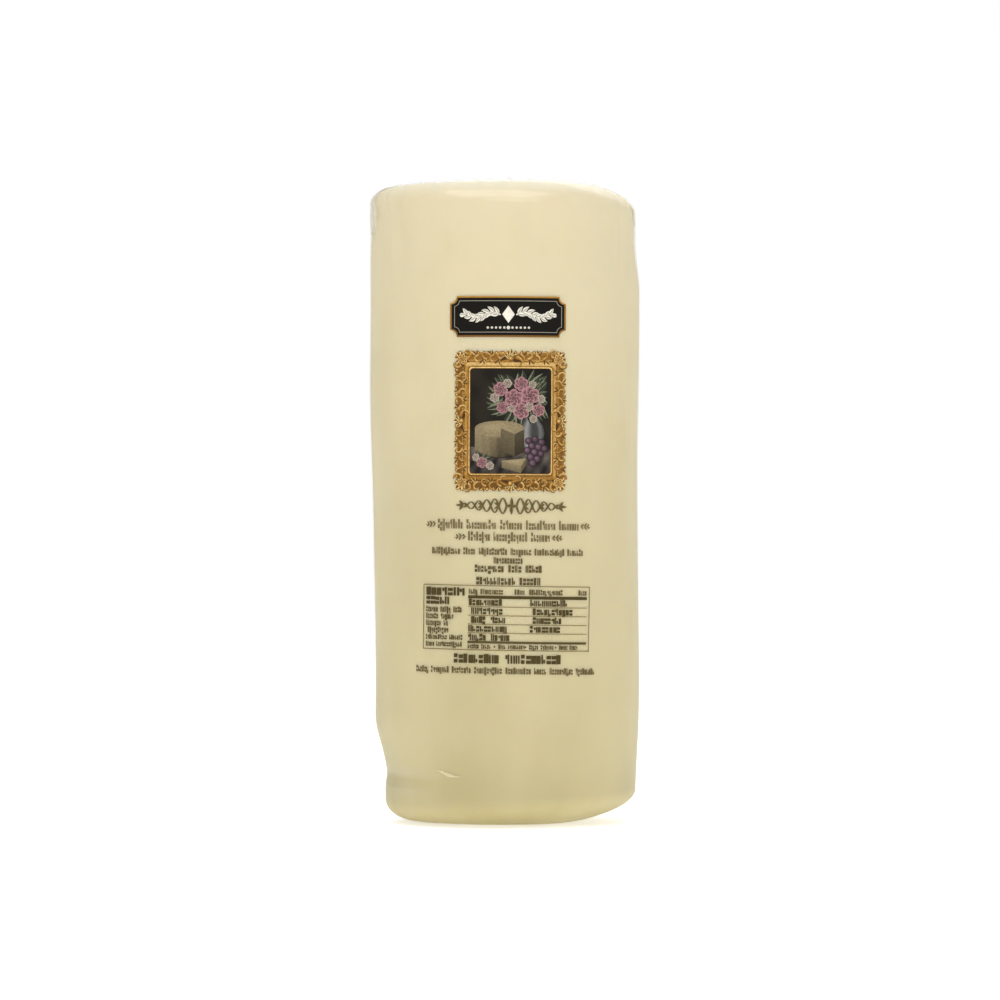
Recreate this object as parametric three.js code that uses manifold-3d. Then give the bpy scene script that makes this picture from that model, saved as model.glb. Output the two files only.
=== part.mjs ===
// A deli log of provolone in its clear shrink bag, standing on one end.
// The bag clings to the cheese all over, so log and bag are one solid: a barrel with soft, uneven ends,
// a foot that steps in on one side, and the bag's flat heat seal, which crosses the top and folds down
// over the left corner.
// Z runs up the log. The printed front faces -Y, and X is to the right of a viewer who faces it.
// The origin is the middle of the flat base.
import * as THREE from "three";
import { mergeVertices } from "three/addons/utils/BufferGeometryUtils.js";
import Module from "manifold-3d";

// Driving dimensions, in millimetres. Azimuths are in degrees: 0 is the front, 90 the right and -90 the left.
const HEIGHT = 271;
const BODY_RADIUS = 56.9;
const BASE_FLAT_RADIUS = 26;
// The back is flatter, where the log has lain on a shelf.
const BACK_FLAT = { depth: 1.2, spread: 70 };
// The left side stands this proud, all of it above the height to and none below the height from.
const LEFT_FULLNESS = { depth: 0.6, spread: 80, from: 120, to: 190 };

// Each end rounds off as an ellipse, softer on the right than on the left: radial is its reach across the end
// face and axial its reach along the side. dome is how far the end face draws back by the body's full radius.
const TOP_END = {
  radial: { left: 11, right: 17 },
  axial: { left: 7, right: 11 },
  dome: { left: 2.3, right: 2.1 },
};
const BASE_END = {
  radial: { left: 13, right: 31 },
  axial: { left: 10, right: 14 },
  dome: { left: 1.4, right: 3.0 },
};

// Broad dents that leave the barrel out of true. Each is full at the height fullAt and beyond it, and dies
// out by goneAt. It is deepest at its azimuth and fades over spread degrees to either side.
const DENTS = [
  // the neck under the right rim
  { azimuth: 95, spread: 105, fullAt: 248, goneAt: 224, depth: 2.2 },
  // where the folded ear presses in
  { azimuth: -90, spread: 40, fullAt: 254, goneAt: 240, depth: 0.6 },
  // the long hollow of the left side
  { azimuth: -90, spread: 85, fullAt: 125, goneAt: 188, depth: 1.4 },
  // the step above the left foot
  { azimuth: -96, spread: 96, fullAt: 23, goneAt: 46, depth: 4.5 },
  // the slack above the right foot
  { azimuth: 80, spread: 90, fullAt: 14, goneAt: 52, depth: 1.3 },
];

// The tuck where the bag is pulled in round the foot: a shallow level groove.
const TUCK = { azimuth: -70, spread: 52, height: 21.3, width: 4, depth: 0.9 };

// Slow waves round and along the barrel: lobes is how many go round it, rise the height of one turn of them.
const WAVES = [
  { lobes: 3, rise: 210, phase: 0.6, depth: 0.3 },
  { lobes: 5, rise: -130, phase: 2.1, depth: 0.18 },
  { lobes: 8, rise: 90, phase: 4.0, depth: 0.1 },
];

// The heat seal's band follows the log's outline in the XZ plane. It starts on the left side as a wide folded
// ear, earDrop below the top corner. It ends endTurn degrees down the right corner, where it has lost the
// share endLoss of its height. root is how deep it is bedded in the log.
const SEAL = { width: 9, earWidth: 17, height: 0.6, root: 1.4, earDrop: 13, endTurn: 55, endLoss: 0.7 };
// Half of its low rounded section, from the edge in: [share of the half width, share of the height].
const SEAL_SECTION = [[1, 0.1], [0.8, 0.8], [0.5, 1]];

// How finely the surfaces are divided.
const ROUND = 64;
const BASE_RINGS = 3;
const CORNER_RINGS = 7;
const SIDE_RINGS = 36;
const TOP_RINGS = 4;
const EAR_STEPS = 4;
const WELD = 1e-4;

const { degToRad, lerp, smoothstep } = THREE.MathUtils;

// 1 at the centre azimuth, falling smoothly to 0 at spread degrees to either side.
function roundWindow(azimuth, centre, spread) {
  const away = Math.abs(((azimuth - centre + 540) % 360) - 180);
  return away < spread ? Math.cos((away / spread) * (Math.PI / 2)) ** 2 : 0;
}

function dentDepth(dent, azimuth, z) {
  const rise = smoothstep(z, Math.min(dent.fullAt, dent.goneAt), Math.max(dent.fullAt, dent.goneAt));
  const share = dent.fullAt > dent.goneAt ? rise : 1 - rise;
  return dent.depth * share * roundWindow(azimuth, dent.azimuth, dent.spread);
}

function tuckDepth(azimuth, z) {
  const across = Math.exp(-(((z - TUCK.height) / TUCK.width) ** 2));
  return TUCK.depth * across * roundWindow(azimuth, TUCK.azimuth, TUCK.spread);
}

function waveHeight(wave, azimuth, z) {
  const turn = wave.lobes * degToRad(azimuth) + (2 * Math.PI * z) / wave.rise + wave.phase;
  return wave.depth * Math.cos(turn);
}

// How far the side is from the Z axis.
function sideRadius(azimuth, z) {
  const back = BACK_FLAT.depth * roundWindow(azimuth, 180, BACK_FLAT.spread);
  const fullness = LEFT_FULLNESS.depth * smoothstep(z, LEFT_FULLNESS.from, LEFT_FULLNESS.to);
  const left = fullness * roundWindow(azimuth, -90, LEFT_FULLNESS.spread);
  const dents = DENTS.reduce((sum, dent) => sum + dentDepth(dent, azimuth, z), 0);
  const waves = WAVES.reduce((sum, wave) => sum + waveHeight(wave, azimuth, z), 0);
  return BODY_RADIUS + left + waves - back - dents - tuckDepth(azimuth, z);
}

// An end's radial, axial and dome at an azimuth.
function endAt(end, azimuth) {
  const toRight = 0.5 + 0.5 * Math.sin(degToRad(azimuth));
  const between = ({ left, right }) => lerp(left, right, toRight);
  return { radial: between(end.radial), axial: between(end.axial), dome: between(end.dome) };
}

function topHeight(azimuth, distance) {
  return HEIGHT - endAt(TOP_END, azimuth).dome * (distance / BODY_RADIUS) ** 2;
}

function baseHeight(azimuth, distance) {
  return endAt(BASE_END, azimuth).dome * smoothstep(distance, BASE_FLAT_RADIUS, BODY_RADIUS);
}

// Where the top corner starts, at an azimuth.
function shoulderHeight(azimuth) {
  return topHeight(azimuth, BODY_RADIUS) - endAt(TOP_END, azimuth).axial;
}

// Each of these five gives [distance from the axis, height] at an azimuth and a share, 0 to 1, of its stretch
// of the outline, which runs from the middle of the base to the middle of the top.
function onBase(azimuth, share) {
  const distance = share * (sideRadius(azimuth, 0) - endAt(BASE_END, azimuth).radial);
  return [distance, baseHeight(azimuth, distance)];
}

function onBaseCorner(azimuth, share) {
  const end = endAt(BASE_END, azimuth);
  const turn = degToRad(90 * share);
  const height = end.axial * (1 - Math.cos(turn));
  const distance = sideRadius(azimuth, height) - end.radial * (1 - Math.sin(turn));
  return [distance, height + (1 - share) * baseHeight(azimuth, distance)];
}

function onSide(azimuth, share) {
  const eased = (1 - Math.cos(Math.PI * share)) / 2; // closer rings near both ends
  const height = lerp(endAt(BASE_END, azimuth).axial, shoulderHeight(azimuth), eased);
  return [sideRadius(azimuth, height), height];
}

function onTopCorner(azimuth, share) {
  const end = endAt(TOP_END, azimuth);
  const turn = degToRad(90 * share);
  const height = shoulderHeight(azimuth) + end.axial * Math.sin(turn);
  const distance = sideRadius(azimuth, height) - end.radial * (1 - Math.cos(turn));
  const rise = topHeight(azimuth, distance) - topHeight(azimuth, BODY_RADIUS);
  return [distance, height + share * rise];
}

function onTop(azimuth, share) {
  const [rim] = onTopCorner(azimuth, 1);
  const distance = rim * (1 - share);
  return [distance, topHeight(azimuth, distance)];
}

const OUTLINE = [
  { stretch: onBase, rings: BASE_RINGS },
  { stretch: onBaseCorner, rings: CORNER_RINGS },
  { stretch: onSide, rings: SIDE_RINGS },
  { stretch: onTopCorner, rings: CORNER_RINGS },
  { stretch: onTop, rings: TOP_RINGS },
];

// A closed surface from rows of points. Each row is a closed ring of as many points, anticlockwise as seen
// from the end. One point caps the rows at each end.
function closedRows(start, rows, end) {
  const round = rows[0].length;
  const last = rows.length - 1;
  const vertex = (row, k) => 1 + row * round + (k % round);
  const faces = [];
  for (let k = 0; k < round; k++) {
    faces.push(0, vertex(0, k + 1), vertex(0, k));
    faces.push(vertex(last, k), vertex(last, k + 1), 1 + rows.length * round);
    for (let row = 0; row < last; row++) {
      const [a, b] = [vertex(row, k), vertex(row, k + 1)];
      const [c, d] = [vertex(row + 1, k + 1), vertex(row + 1, k)];
      faces.push(a, b, c, a, c, d);
    }
  }
  return new THREE.BufferGeometry().setFromPoints([start, ...rows.flat(), end]).setIndex(faces);
}

function logGeometry() {
  const stations = OUTLINE.flatMap(({ stretch, rings }) =>
    Array.from({ length: rings }, (_, k) => (azimuth) => stretch(azimuth, (k + 1) / rings)),
  );
  stations.pop(); // the last one is the middle of the top, which closes the surface
  const rows = stations.map((station) =>
    Array.from({ length: ROUND }, (_, k) => {
      const azimuth = (k * 360) / ROUND;
      const [distance, height] = station(azimuth);
      const turn = degToRad(azimuth);
      return new THREE.Vector3(distance * Math.sin(turn), -distance * Math.cos(turn), height);
    }),
  );
  return closedRows(new THREE.Vector3(), rows, new THREE.Vector3(0, 0, HEIGHT));
}

// The seal's line over the top, from the ear's lower end to the right corner.
function sealLine() {
  const left = ([distance, height]) => new THREE.Vector3(-distance, 0, height);
  const right = ([distance, height]) => new THREE.Vector3(distance, 0, height);
  const line = [];
  for (let k = 0; k < EAR_STEPS; k++) {
    const height = shoulderHeight(-90) - SEAL.earDrop * (1 - k / EAR_STEPS);
    line.push(left([sideRadius(-90, height), height]));
  }
  for (let k = 0; k <= CORNER_RINGS; k++) line.push(left(onTopCorner(-90, k / CORNER_RINGS)));
  for (let k = 1; k < TOP_RINGS; k++) line.push(left(onTop(-90, k / TOP_RINGS)));
  for (let k = TOP_RINGS; k > 0; k--) line.push(right(onTop(90, k / TOP_RINGS)));
  for (let k = 0; k <= CORNER_RINGS; k++) {
    line.push(right(onTopCorner(90, 1 - (k / CORNER_RINGS) * (SEAL.endTurn / 90))));
  }
  return line;
}

function sealGeometry() {
  const line = sealLine();
  const last = line.length - 1;
  const otherHalf = SEAL_SECTION.map(([across, up]) => [-across, up]).reverse();
  const section = [...SEAL_SECTION, ...otherHalf];
  const rows = line.map((point, k) => {
    const along = line[Math.min(k + 1, last)].clone().sub(line[Math.max(k - 1, 0)]).normalize();
    const out = new THREE.Vector3(-along.z, 0, along.x);
    const pastEar = smoothstep(k, EAR_STEPS, EAR_STEPS + CORNER_RINGS);
    const half = lerp(SEAL.earWidth, SEAL.width, pastEar) / 2;
    const height = SEAL.height * (1 - SEAL.endLoss * smoothstep(k, last - CORNER_RINGS, last));
    const at = (across, lift) => point.clone().addScaledVector(out, lift).setY(half * across);
    return [...section.map(([across, up]) => at(across, height * up)), at(-1, -SEAL.root), at(1, -SEAL.root)];
  });
  const middle = (row) => row.reduce((sum, p) => sum.add(p), new THREE.Vector3()).divideScalar(row.length);
  return closedRows(middle(rows[0]), rows, middle(rows[last]));
}

const wasm = await Module();
wasm.setup();

function toSolid(geometry) {
  const merged = mergeVertices(geometry, WELD);
  const mesh = {
    numProp: 3,
    vertProperties: new Float32Array(merged.attributes.position.array),
    triVerts: new Uint32Array(merged.index.array),
  };
  return new wasm.Manifold(new wasm.Mesh(mesh));
}

function toGeometry(solid) {
  const mesh = solid.getMesh();
  const geometry = new THREE.BufferGeometry();
  geometry.setAttribute("position", new THREE.BufferAttribute(mesh.vertProperties, 3));
  geometry.setIndex(new THREE.BufferAttribute(mesh.triVerts, 1));
  geometry.computeVertexNormals();
  return geometry;
}

const cheese = new THREE.MeshStandardMaterial({ color: 0xdccda2, roughness: 0.35, metalness: 0 });
const log = new THREE.Mesh(toGeometry(toSolid(logGeometry()).add(toSolid(sealGeometry()))), cheese);
log.name = "provolone_log";

const provolone = new THREE.Group();
provolone.add(log);

export default provolone;
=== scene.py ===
import functools
import math

import bpy
import numpy as np
from bpy.props import FloatProperty, FloatVectorProperty, IntProperty, PointerProperty
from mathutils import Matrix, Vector


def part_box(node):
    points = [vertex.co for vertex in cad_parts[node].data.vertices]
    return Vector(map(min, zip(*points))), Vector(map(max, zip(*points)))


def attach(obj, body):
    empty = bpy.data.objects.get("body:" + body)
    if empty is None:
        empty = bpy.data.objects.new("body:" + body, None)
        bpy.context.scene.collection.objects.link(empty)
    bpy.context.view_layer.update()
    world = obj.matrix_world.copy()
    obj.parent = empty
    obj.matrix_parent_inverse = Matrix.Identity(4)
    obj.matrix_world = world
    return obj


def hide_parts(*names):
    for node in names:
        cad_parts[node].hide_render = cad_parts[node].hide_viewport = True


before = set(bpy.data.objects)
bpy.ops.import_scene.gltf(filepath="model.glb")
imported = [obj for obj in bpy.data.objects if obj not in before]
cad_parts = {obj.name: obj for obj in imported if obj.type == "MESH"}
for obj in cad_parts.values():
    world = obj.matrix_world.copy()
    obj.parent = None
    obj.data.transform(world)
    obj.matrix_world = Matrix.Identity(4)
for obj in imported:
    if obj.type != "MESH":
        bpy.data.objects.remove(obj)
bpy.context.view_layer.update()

# A provolone log in its clear printed shrink bag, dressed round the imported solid. Z runs up the log and the
# printed front faces -Y. Shapes are worked out in millimetres and stored in metres. Azimuths are in degrees:
# 0 is the front, 90 the right, -90 the left.

bl_info = {
    "name": "Provolone Log",
    "version": (1, 0, 0),
    "blender": (4, 5, 0),
    "location": "3D View > Sidebar > Provolone",
    "description": "Cheese, shrink film, seal and print of a provolone log",
    "category": "Object",
}

LOG_NODE = "provolone_log"
LOG_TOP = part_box(LOG_NODE)[1].z
MM = 0.001
SIDES = (-1, 1)

# ---------------------------------------------------------------- the log's form

SEAL_HEIGHT = 0.6
# The rounding and the dome of each end, at the left and at the right.
TOP_END = {"radial": (11, 17), "axial": (7, 11), "dome": (2.3, 2.1)}
BASE_END = {"radial": (13, 31), "axial": (10, 14), "dome": (1.4, 3.0)}
BASE_FLAT_RADIUS = 26
BACK_FLAT = {"depth": 1.2, "spread": 70}
LEFT_FULLNESS = {"depth": 0.6, "spread": 80, "low": 120, "high": 190}
# (azimuth, spread, full at this height, gone at this one, depth)
DENTS = (
    (95, 105, 248, 224, 2.2),
    (-90, 40, 254, 240, 0.6),
    (-90, 85, 125, 188, 1.4),
    (-96, 96, 23, 46, 4.5),
    (80, 90, 14, 52, 1.3),
)
TUCK = {"azimuth": -70, "spread": 52, "height": 21.3, "width": 4, "depth": 0.9}
# (lobes, rise, phase, depth)
WAVES = ((3, 210, 0.6, 0.3), (5, -130, 2.1, 0.18), (8, 90, 4.0, 0.1))

# Rows of the base, its corner, the side, the top corner and the top face, and how many points are in a row.
CHEESE_GRID = ((8, 16, 132, 22, 48), 360)
FILM_GRID = ((8, 14, 118, 22, 56), 360)
FILM_LINING_GRID = ((4, 8, 50, 12, 20), 150)


def smoothstep(x, start, end):
    """0 before the start, 1 past the end. The start may be the higher of the two."""
    t = np.clip((x - start) / (end - start), 0.0, 1.0)
    return t * t * (3.0 - 2.0 * t)


def bell(x, centre, width):
    return np.exp(-(((x - centre) / width) ** 2))


def round_window(azimuth, centre, spread):
    """1 at the centre azimuth, falling smoothly to 0 at spread degrees to either side."""
    away = np.abs((azimuth - centre + 540.0) % 360.0 - 180.0)
    return np.cos(np.clip(away / spread, 0.0, 1.0) * np.pi / 2) ** 2


def unit(vectors):
    return vectors / np.maximum(np.linalg.norm(vectors, axis=-1, keepdims=True), 1e-9)


def end_at(end, name, azimuth):
    left, right = end[name]
    return left + (right - left) * (0.5 + 0.5 * np.sin(np.radians(azimuth)))


def side_shares(count):
    """Shares of the side's height, closer together at the tuck and towards the top."""
    share = np.linspace(0, 1, 500)
    density = 0.6 + 2.4 * bell(share, 0.05, 0.055) + smoothstep(share, 0.75, 1.0)
    run = np.cumsum(density) - density[0]
    return np.interp(np.arange(1, count + 1) / count, run / run[-1], share)


class LogForm:
    """The bag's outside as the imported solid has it, without the seal, in millimetres."""

    def __init__(self, sizes):
        self.height = sizes.height / MM
        self.body_radius = sizes.body_radius / MM

    def radius(self, azimuth, z):
        radius = self.body_radius - BACK_FLAT["depth"] * round_window(azimuth, 180, BACK_FLAT["spread"])
        fullness = LEFT_FULLNESS["depth"] * smoothstep(z, LEFT_FULLNESS["low"], LEFT_FULLNESS["high"])
        radius = radius + fullness * round_window(azimuth, -90, LEFT_FULLNESS["spread"])
        for centre, spread, full_at, gone_at, depth in DENTS:
            radius = radius - depth * smoothstep(z, gone_at, full_at) * round_window(azimuth, centre, spread)
        tuck = TUCK["depth"] * bell(z, TUCK["height"], TUCK["width"])
        radius = radius - tuck * round_window(azimuth, TUCK["azimuth"], TUCK["spread"])
        for lobes, rise, phase, depth in WAVES:
            radius = radius + depth * np.cos(lobes * np.radians(azimuth) + 2 * np.pi * z / rise + phase)
        return radius

    def top_height(self, azimuth, distance):
        return self.height - end_at(TOP_END, "dome", azimuth) * (distance / self.body_radius) ** 2

    def base_height(self, azimuth, distance):
        return end_at(BASE_END, "dome", azimuth) * smoothstep(distance, BASE_FLAT_RADIUS, self.body_radius)

    def shoulder(self, azimuth):
        return self.top_height(azimuth, self.body_radius) - end_at(TOP_END, "axial", azimuth)

    def on_base(self, azimuth, share):
        distance = share * (self.radius(azimuth, 0.0) - end_at(BASE_END, "radial", azimuth))
        return distance, self.base_height(azimuth, distance)

    def on_base_corner(self, azimuth, share):
        turn = share * np.pi / 2
        height = end_at(BASE_END, "axial", azimuth) * (1 - np.cos(turn))
        distance = self.radius(azimuth, height) - end_at(BASE_END, "radial", azimuth) * (1 - np.sin(turn))
        return distance, height + (1 - share) * self.base_height(azimuth, distance)

    def on_side(self, azimuth, share):
        low = end_at(BASE_END, "axial", azimuth)
        height = low + (self.shoulder(azimuth) - low) * share
        return self.radius(azimuth, height), height

    def on_top_corner(self, azimuth, share):
        turn = share * np.pi / 2
        height = self.shoulder(azimuth) + end_at(TOP_END, "axial", azimuth) * np.sin(turn)
        distance = self.radius(azimuth, height) - end_at(TOP_END, "radial", azimuth) * (1 - np.cos(turn))
        rise = self.top_height(azimuth, distance) - self.top_height(azimuth, self.body_radius)
        return distance, height + share * rise

    def on_top(self, azimuth, share):
        rim, _ = self.on_top_corner(azimuth, 1.0)
        distance = rim * (1 - share)
        return distance, self.top_height(azimuth, distance)

    def grid(self, counts, around):
        """Azimuths and a grid of points, rows from the base's middle to the top's, both middles left out."""
        azimuth = np.arange(around) * 360.0 / around
        turn = np.radians(azimuth)
        stretches = (self.on_base, self.on_base_corner, self.on_side, self.on_top_corner, self.on_top)
        rows = []
        for stretch, count in zip(stretches, counts):
            shares = side_shares(count) if stretch == self.on_side else np.arange(1, count + 1) / count
            for share in shares:
                distance, height = stretch(azimuth, share)
                x, y = distance * np.sin(turn), -distance * np.cos(turn)
                rows.append(np.stack((x, y, height + 0 * turn), 1))
        return azimuth, np.array(rows[:-1])


def grid_normals(points):
    """Outward normals of a grid from LogForm.grid."""
    around = np.roll(points, -1, 1) - np.roll(points, 1, 1)
    return unit(np.cross(around, np.gradient(points, axis=0)))


def depth_from_top(points, height):
    """How far along the skin each point is from the middle of the top."""
    steps = np.linalg.norm(np.diff(points, axis=0), axis=2)
    run = np.cumsum(steps[::-1], axis=0)[::-1]
    from_top = np.linalg.norm(points[-1] - (0.0, 0.0, height), axis=1)
    return np.vstack((run, np.zeros((1, points.shape[1])))) + from_top


# ---------------------------------------------------------------- folds, slack and painted light of the bag

TUCK_CREST = {"height": 23.6, "slope": -0.018, "width": 1.5, "lift": 0.2}
# Where the top's edge is drawn in at the right.
DRAWN_SHOULDER = {"azimuth": 88, "spread": 62, "height": 268, "width": 7.0, "depth": 1.25}
# How much the front of the top is raised.
FRONT_RISE = 0.6
# Half the length of the seal that folds fan out from, and how far the outermost of them turns, in degrees.
SEAL_REACH = 46
SEAL_FAN = 27
FOLDS_ABOVE = 170
FOLD_SEED = 11


def fold_list():
    """Gathers of the bag's top, fanning out from the seal and from its two ends.

    Each is (start, heading, length, half width, height, bend) on the unrolled top.
    """
    draw = np.random.default_rng(FOLD_SEED)
    folds = []
    for side in SIDES:
        for k in range(14):
            x = -SEAL_REACH + 2 * SEAL_REACH * (k + draw.uniform(0.15, 0.85)) / 14
            fan = math.radians(x / SEAL_REACH * SEAL_FAN + draw.uniform(-7, 7))
            heading = fan if side > 0 else math.pi - fan
            length = draw.uniform(26, 56)
            height = draw.uniform(0.2, 0.75) * (1.25 - 0.5 * abs(x) / SEAL_REACH)
            width, bend = draw.uniform(0.8, 1.9), draw.uniform(-6, 6)
            folds.append(((x, side * 3.5), heading, length, width, height, bend))
    for end, count, spread in ((-1, 9, 62), (1, 11, 58)):
        for k in range(count):
            fan = math.radians(-spread + 2 * spread * (k + draw.uniform(0.2, 0.8)) / count)
            start = (end * draw.uniform(42, 50), 9.9 * math.sin(fan))
            length = draw.uniform(22, 46) * math.cos(fan) ** 0.5
            height = draw.uniform(0.2, 0.6)
            heading = end * (math.pi / 2 - fan)
            folds.append((start, heading, length, draw.uniform(0.9, 1.9), height, draw.uniform(-6, 6)))
    for end, count in ((-1, 7), (1, 6)):
        for k in range(count):
            fan = math.radians(-34 + 68 * (k + draw.uniform(0.15, 0.85)) / count)
            start = (end * draw.uniform(58, 70) * math.cos(fan), 62 * math.sin(fan))
            length, bend = draw.uniform(26, 58), draw.uniform(-3, 3)
            heading = end * (math.pi / 2 - 1.15 * fan)
            folds.append((start, heading, length, draw.uniform(1.1, 2.0), draw.uniform(0.12, 0.3), bend))
    return folds


def ridge(u, v, start, heading, length, half_width, height, bend):
    """A pressed fold on the unrolled end: sharp along its crest, with a shallow valley at each side."""
    du, dv = u - start[0], v - start[1]
    forward = (math.sin(heading), math.cos(heading))
    share = (du * forward[0] + dv * forward[1]) / length
    gone = np.clip(share, 0, 1)
    across = du * forward[1] - dv * forward[0] + bend * gone**2
    taper = smoothstep(share, -0.04, 0.12) * smoothstep(share, 1.0, 0.35)
    width = half_width * (0.6 + 0.9 * gone)
    crest = 1 / (1 + (across / width) ** 2) ** 2
    valley = 0.28 * bell(np.abs(across), 2.3 * width, width)
    return height * taper * (crest - valley)


def long_pulls(azimuth, z):
    """Faint upright pulls of the shrunk film, at the sides and the back."""
    turn = np.radians(azimuth)
    drift = 0.5 * np.sin(z / 37 + 1.3) + 0.35 * np.sin(z / 17 + 0.4)
    waves = 0.6 * np.sin(23 * turn + drift) + 0.45 * np.sin(37 * turn - 1.4 * drift + 1)
    waves = waves + 0.3 * np.sin(61 * turn + 2)
    away_from_front = 1 - round_window(azimuth, 0, 62) ** 0.5
    swell = 0.6 + 0.4 * np.sin(z / 29 + 2 * np.sin(2 * turn))
    return 0.115 * waves * (0.085 + 0.915 * away_from_front) * swell


def soft_unevenness(points):
    x, y, z = (points[..., k] for k in range(3))
    return 0.09 * (
        np.sin(x / 9.1 + z / 23 + 0.7) * np.cos(y / 11 - z / 31)
        + 0.6 * np.sin(x / 5.3 - y / 6.1 + z / 13 + 2.1)
        + 0.5 * np.sin(z / 8.7 + x / 14 + 1.1) * np.cos(x / 7.9 + y / 9.7)
    )


def foot_tuck(azimuth, z):
    """The level fold where the bag is pulled in above the left foot."""
    azimuth = azimuth + np.where(azimuth > 180, -360, 0)
    height = TUCK_CREST["height"] + TUCK_CREST["slope"] * (azimuth + 60)
    reach = smoothstep(azimuth, -150, -85) * smoothstep(azimuth, -30, -56)
    return reach * TUCK_CREST["lift"] * bell(z, height, TUCK_CREST["width"])


def drawn_shoulder(azimuth, z):
    """How far the edge of the top is drawn in at the right."""
    share = bell(z, DRAWN_SHOULDER["height"], DRAWN_SHOULDER["width"])
    window = round_window(azimuth, DRAWN_SHOULDER["azimuth"], DRAWN_SHOULDER["spread"])
    return DRAWN_SHOULDER["depth"] * share * window


def foot_gathers(azimuth, z):
    """Short upright gathers where the bag turns under the foot."""
    turn = np.radians(azimuth)
    waves = 0.55 * np.sin(31 * turn + 0.6) + 0.45 * np.sin(47 * turn + 1.9 * np.sin(3 * turn))
    waves = waves + 0.3 * np.sin(19 * turn)
    return 0.12 * bell(z, 7, 8) * waves * (1 - 0.55 * round_window(azimuth, 0, 70))


def wrap_relief(azimuth, points, height):
    """Relief of the film and how slack it is (0 to 1) at each point of a grid, with painted light added."""
    z = points[..., 2]
    depth = depth_from_top(points, height)
    turn = np.radians(azimuth)
    u, v = depth * np.sin(turn), -depth * np.cos(turn)
    folds = np.where(z > FOLDS_ABOVE, sum(ridge(u, v, *fold) for fold in fold_list()), 0.0)
    crest = foot_tuck(azimuth, z)
    relief = folds + crest + long_pulls(azimuth, z) * smoothstep(z, 12, 40) + soft_unevenness(points)
    relief = relief + foot_gathers(azimuth, z) - drawn_shoulder(azimuth, z)
    relief = relief + FRONT_RISE * smoothstep(z, height - 4, height - 1) * round_window(azimuth, 0, 80)
    # nothing stands out below the foot
    relief = np.where(z < 2.0, np.minimum(relief, 0.0) * smoothstep(z, 0.0, 2.0), relief)
    slack = np.clip(folds * 0.7, 0, 1) + crest * 1.3
    # painted light: the film grows milkier up the log as a painted sheen of the light from above, and milkier
    # still near the top's edge as a painted highlight
    slack = slack + 0.22 * smoothstep(z, 110, 240) + 0.3 * smoothstep(z, height - 15, height - 2)
    # painted light: a milky band under the fold above the left foot pales the shade that the fold's overhang
    # casts there
    slack = slack + 0.5 * bell(z, 16.5, 5.0) * round_window(azimuth, -80, 62)
    return relief, np.clip(slack, 0, 1)


def skin_of(form, grid, inset=0.0):
    """The film's outside as a grid, or with an inset a skin of the cheese, the form under it and its slack
    and painted light.

    Cheese fills the bag's hollows but not its standing folds.
    """
    azimuth, points = form.grid(*grid)
    relief, slack = wrap_relief(azimuth, points, form.height)
    if inset:
        relief = np.where(relief > 0, 0.35 * relief, relief) - inset
    return points, points + grid_normals(points) * relief[..., None], slack


def closed_skin(form, grid, inset=0.0):
    """Points, faces and slack with painted light of a skin with both its ends closed, facing out."""
    _, rows, slack = skin_of(form, grid, inset)
    count, around = rows.shape[:2]
    points = np.vstack(((0, 0, inset), rows.reshape(-1, 3), (0, 0, form.height - inset)))
    pairs = [(k, (k + 1) % around) for k in range(around)]
    faces = [(0, 1 + b, 1 + a) for a, b in pairs]
    last = 1 + (count - 1) * around
    faces += [(last + a, last + b, len(points) - 1) for a, b in pairs]
    for low in range(1, last, around):
        high = low + around
        faces += [(low + a, low + b, high + b, high + a) for a, b in pairs]
    return points, faces, np.concatenate(([0], slack.ravel(), [0.5]))


# ---------------------------------------------------------------- meshes

def quads(rows, columns):
    """Faces of an open sheet of rows of points."""
    index = np.arange(rows * columns).reshape(rows, columns)
    corners = (index[:-1, :-1], index[:-1, 1:], index[1:, 1:], index[1:, :-1])
    return np.stack([corner.ravel() for corner in corners], 1)


def make_object(name, points, faces=(), material=None, values=None, edges=(), smooth=True):
    """A mesh object from points in millimetres, with named values at its points."""
    mesh = bpy.data.meshes.new(name)
    faces = [tuple(map(int, face)) for face in faces]
    mesh.from_pydata((np.asarray(points) * MM).tolist(), edges, faces)
    for key, numbers in (values or {}).items():
        layer = mesh.attributes.new(key, "FLOAT", "POINT")
        layer.data.foreach_set("value", np.asarray(numbers, dtype=np.float32))
    mesh.polygons.foreach_set("use_smooth", [smooth] * len(faces))
    if material is not None:
        mesh.materials.append(material)
    mesh.update()
    made = bpy.data.objects.new(name, mesh)
    bpy.context.scene.collection.objects.link(made)
    return made


def flat_object(name, places, faces=(), values=None, edges=()):
    """Flat art from places (u, v, lift), in the XZ plane and facing -Y."""
    u, v, lift = np.array(places, float).T
    return make_object(name, np.stack((u, -lift, v), 1), faces, None, values, edges)


def remove_objects(*objects):
    for made in objects:
        mesh = made.data
        bpy.data.objects.remove(made)
        bpy.data.meshes.remove(mesh)


def settle(made):
    """Hands a finished piece to the frame."""
    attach(made, "root")
    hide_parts(LOG_NODE)


# ---------------------------------------------------------------- nodes

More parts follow.
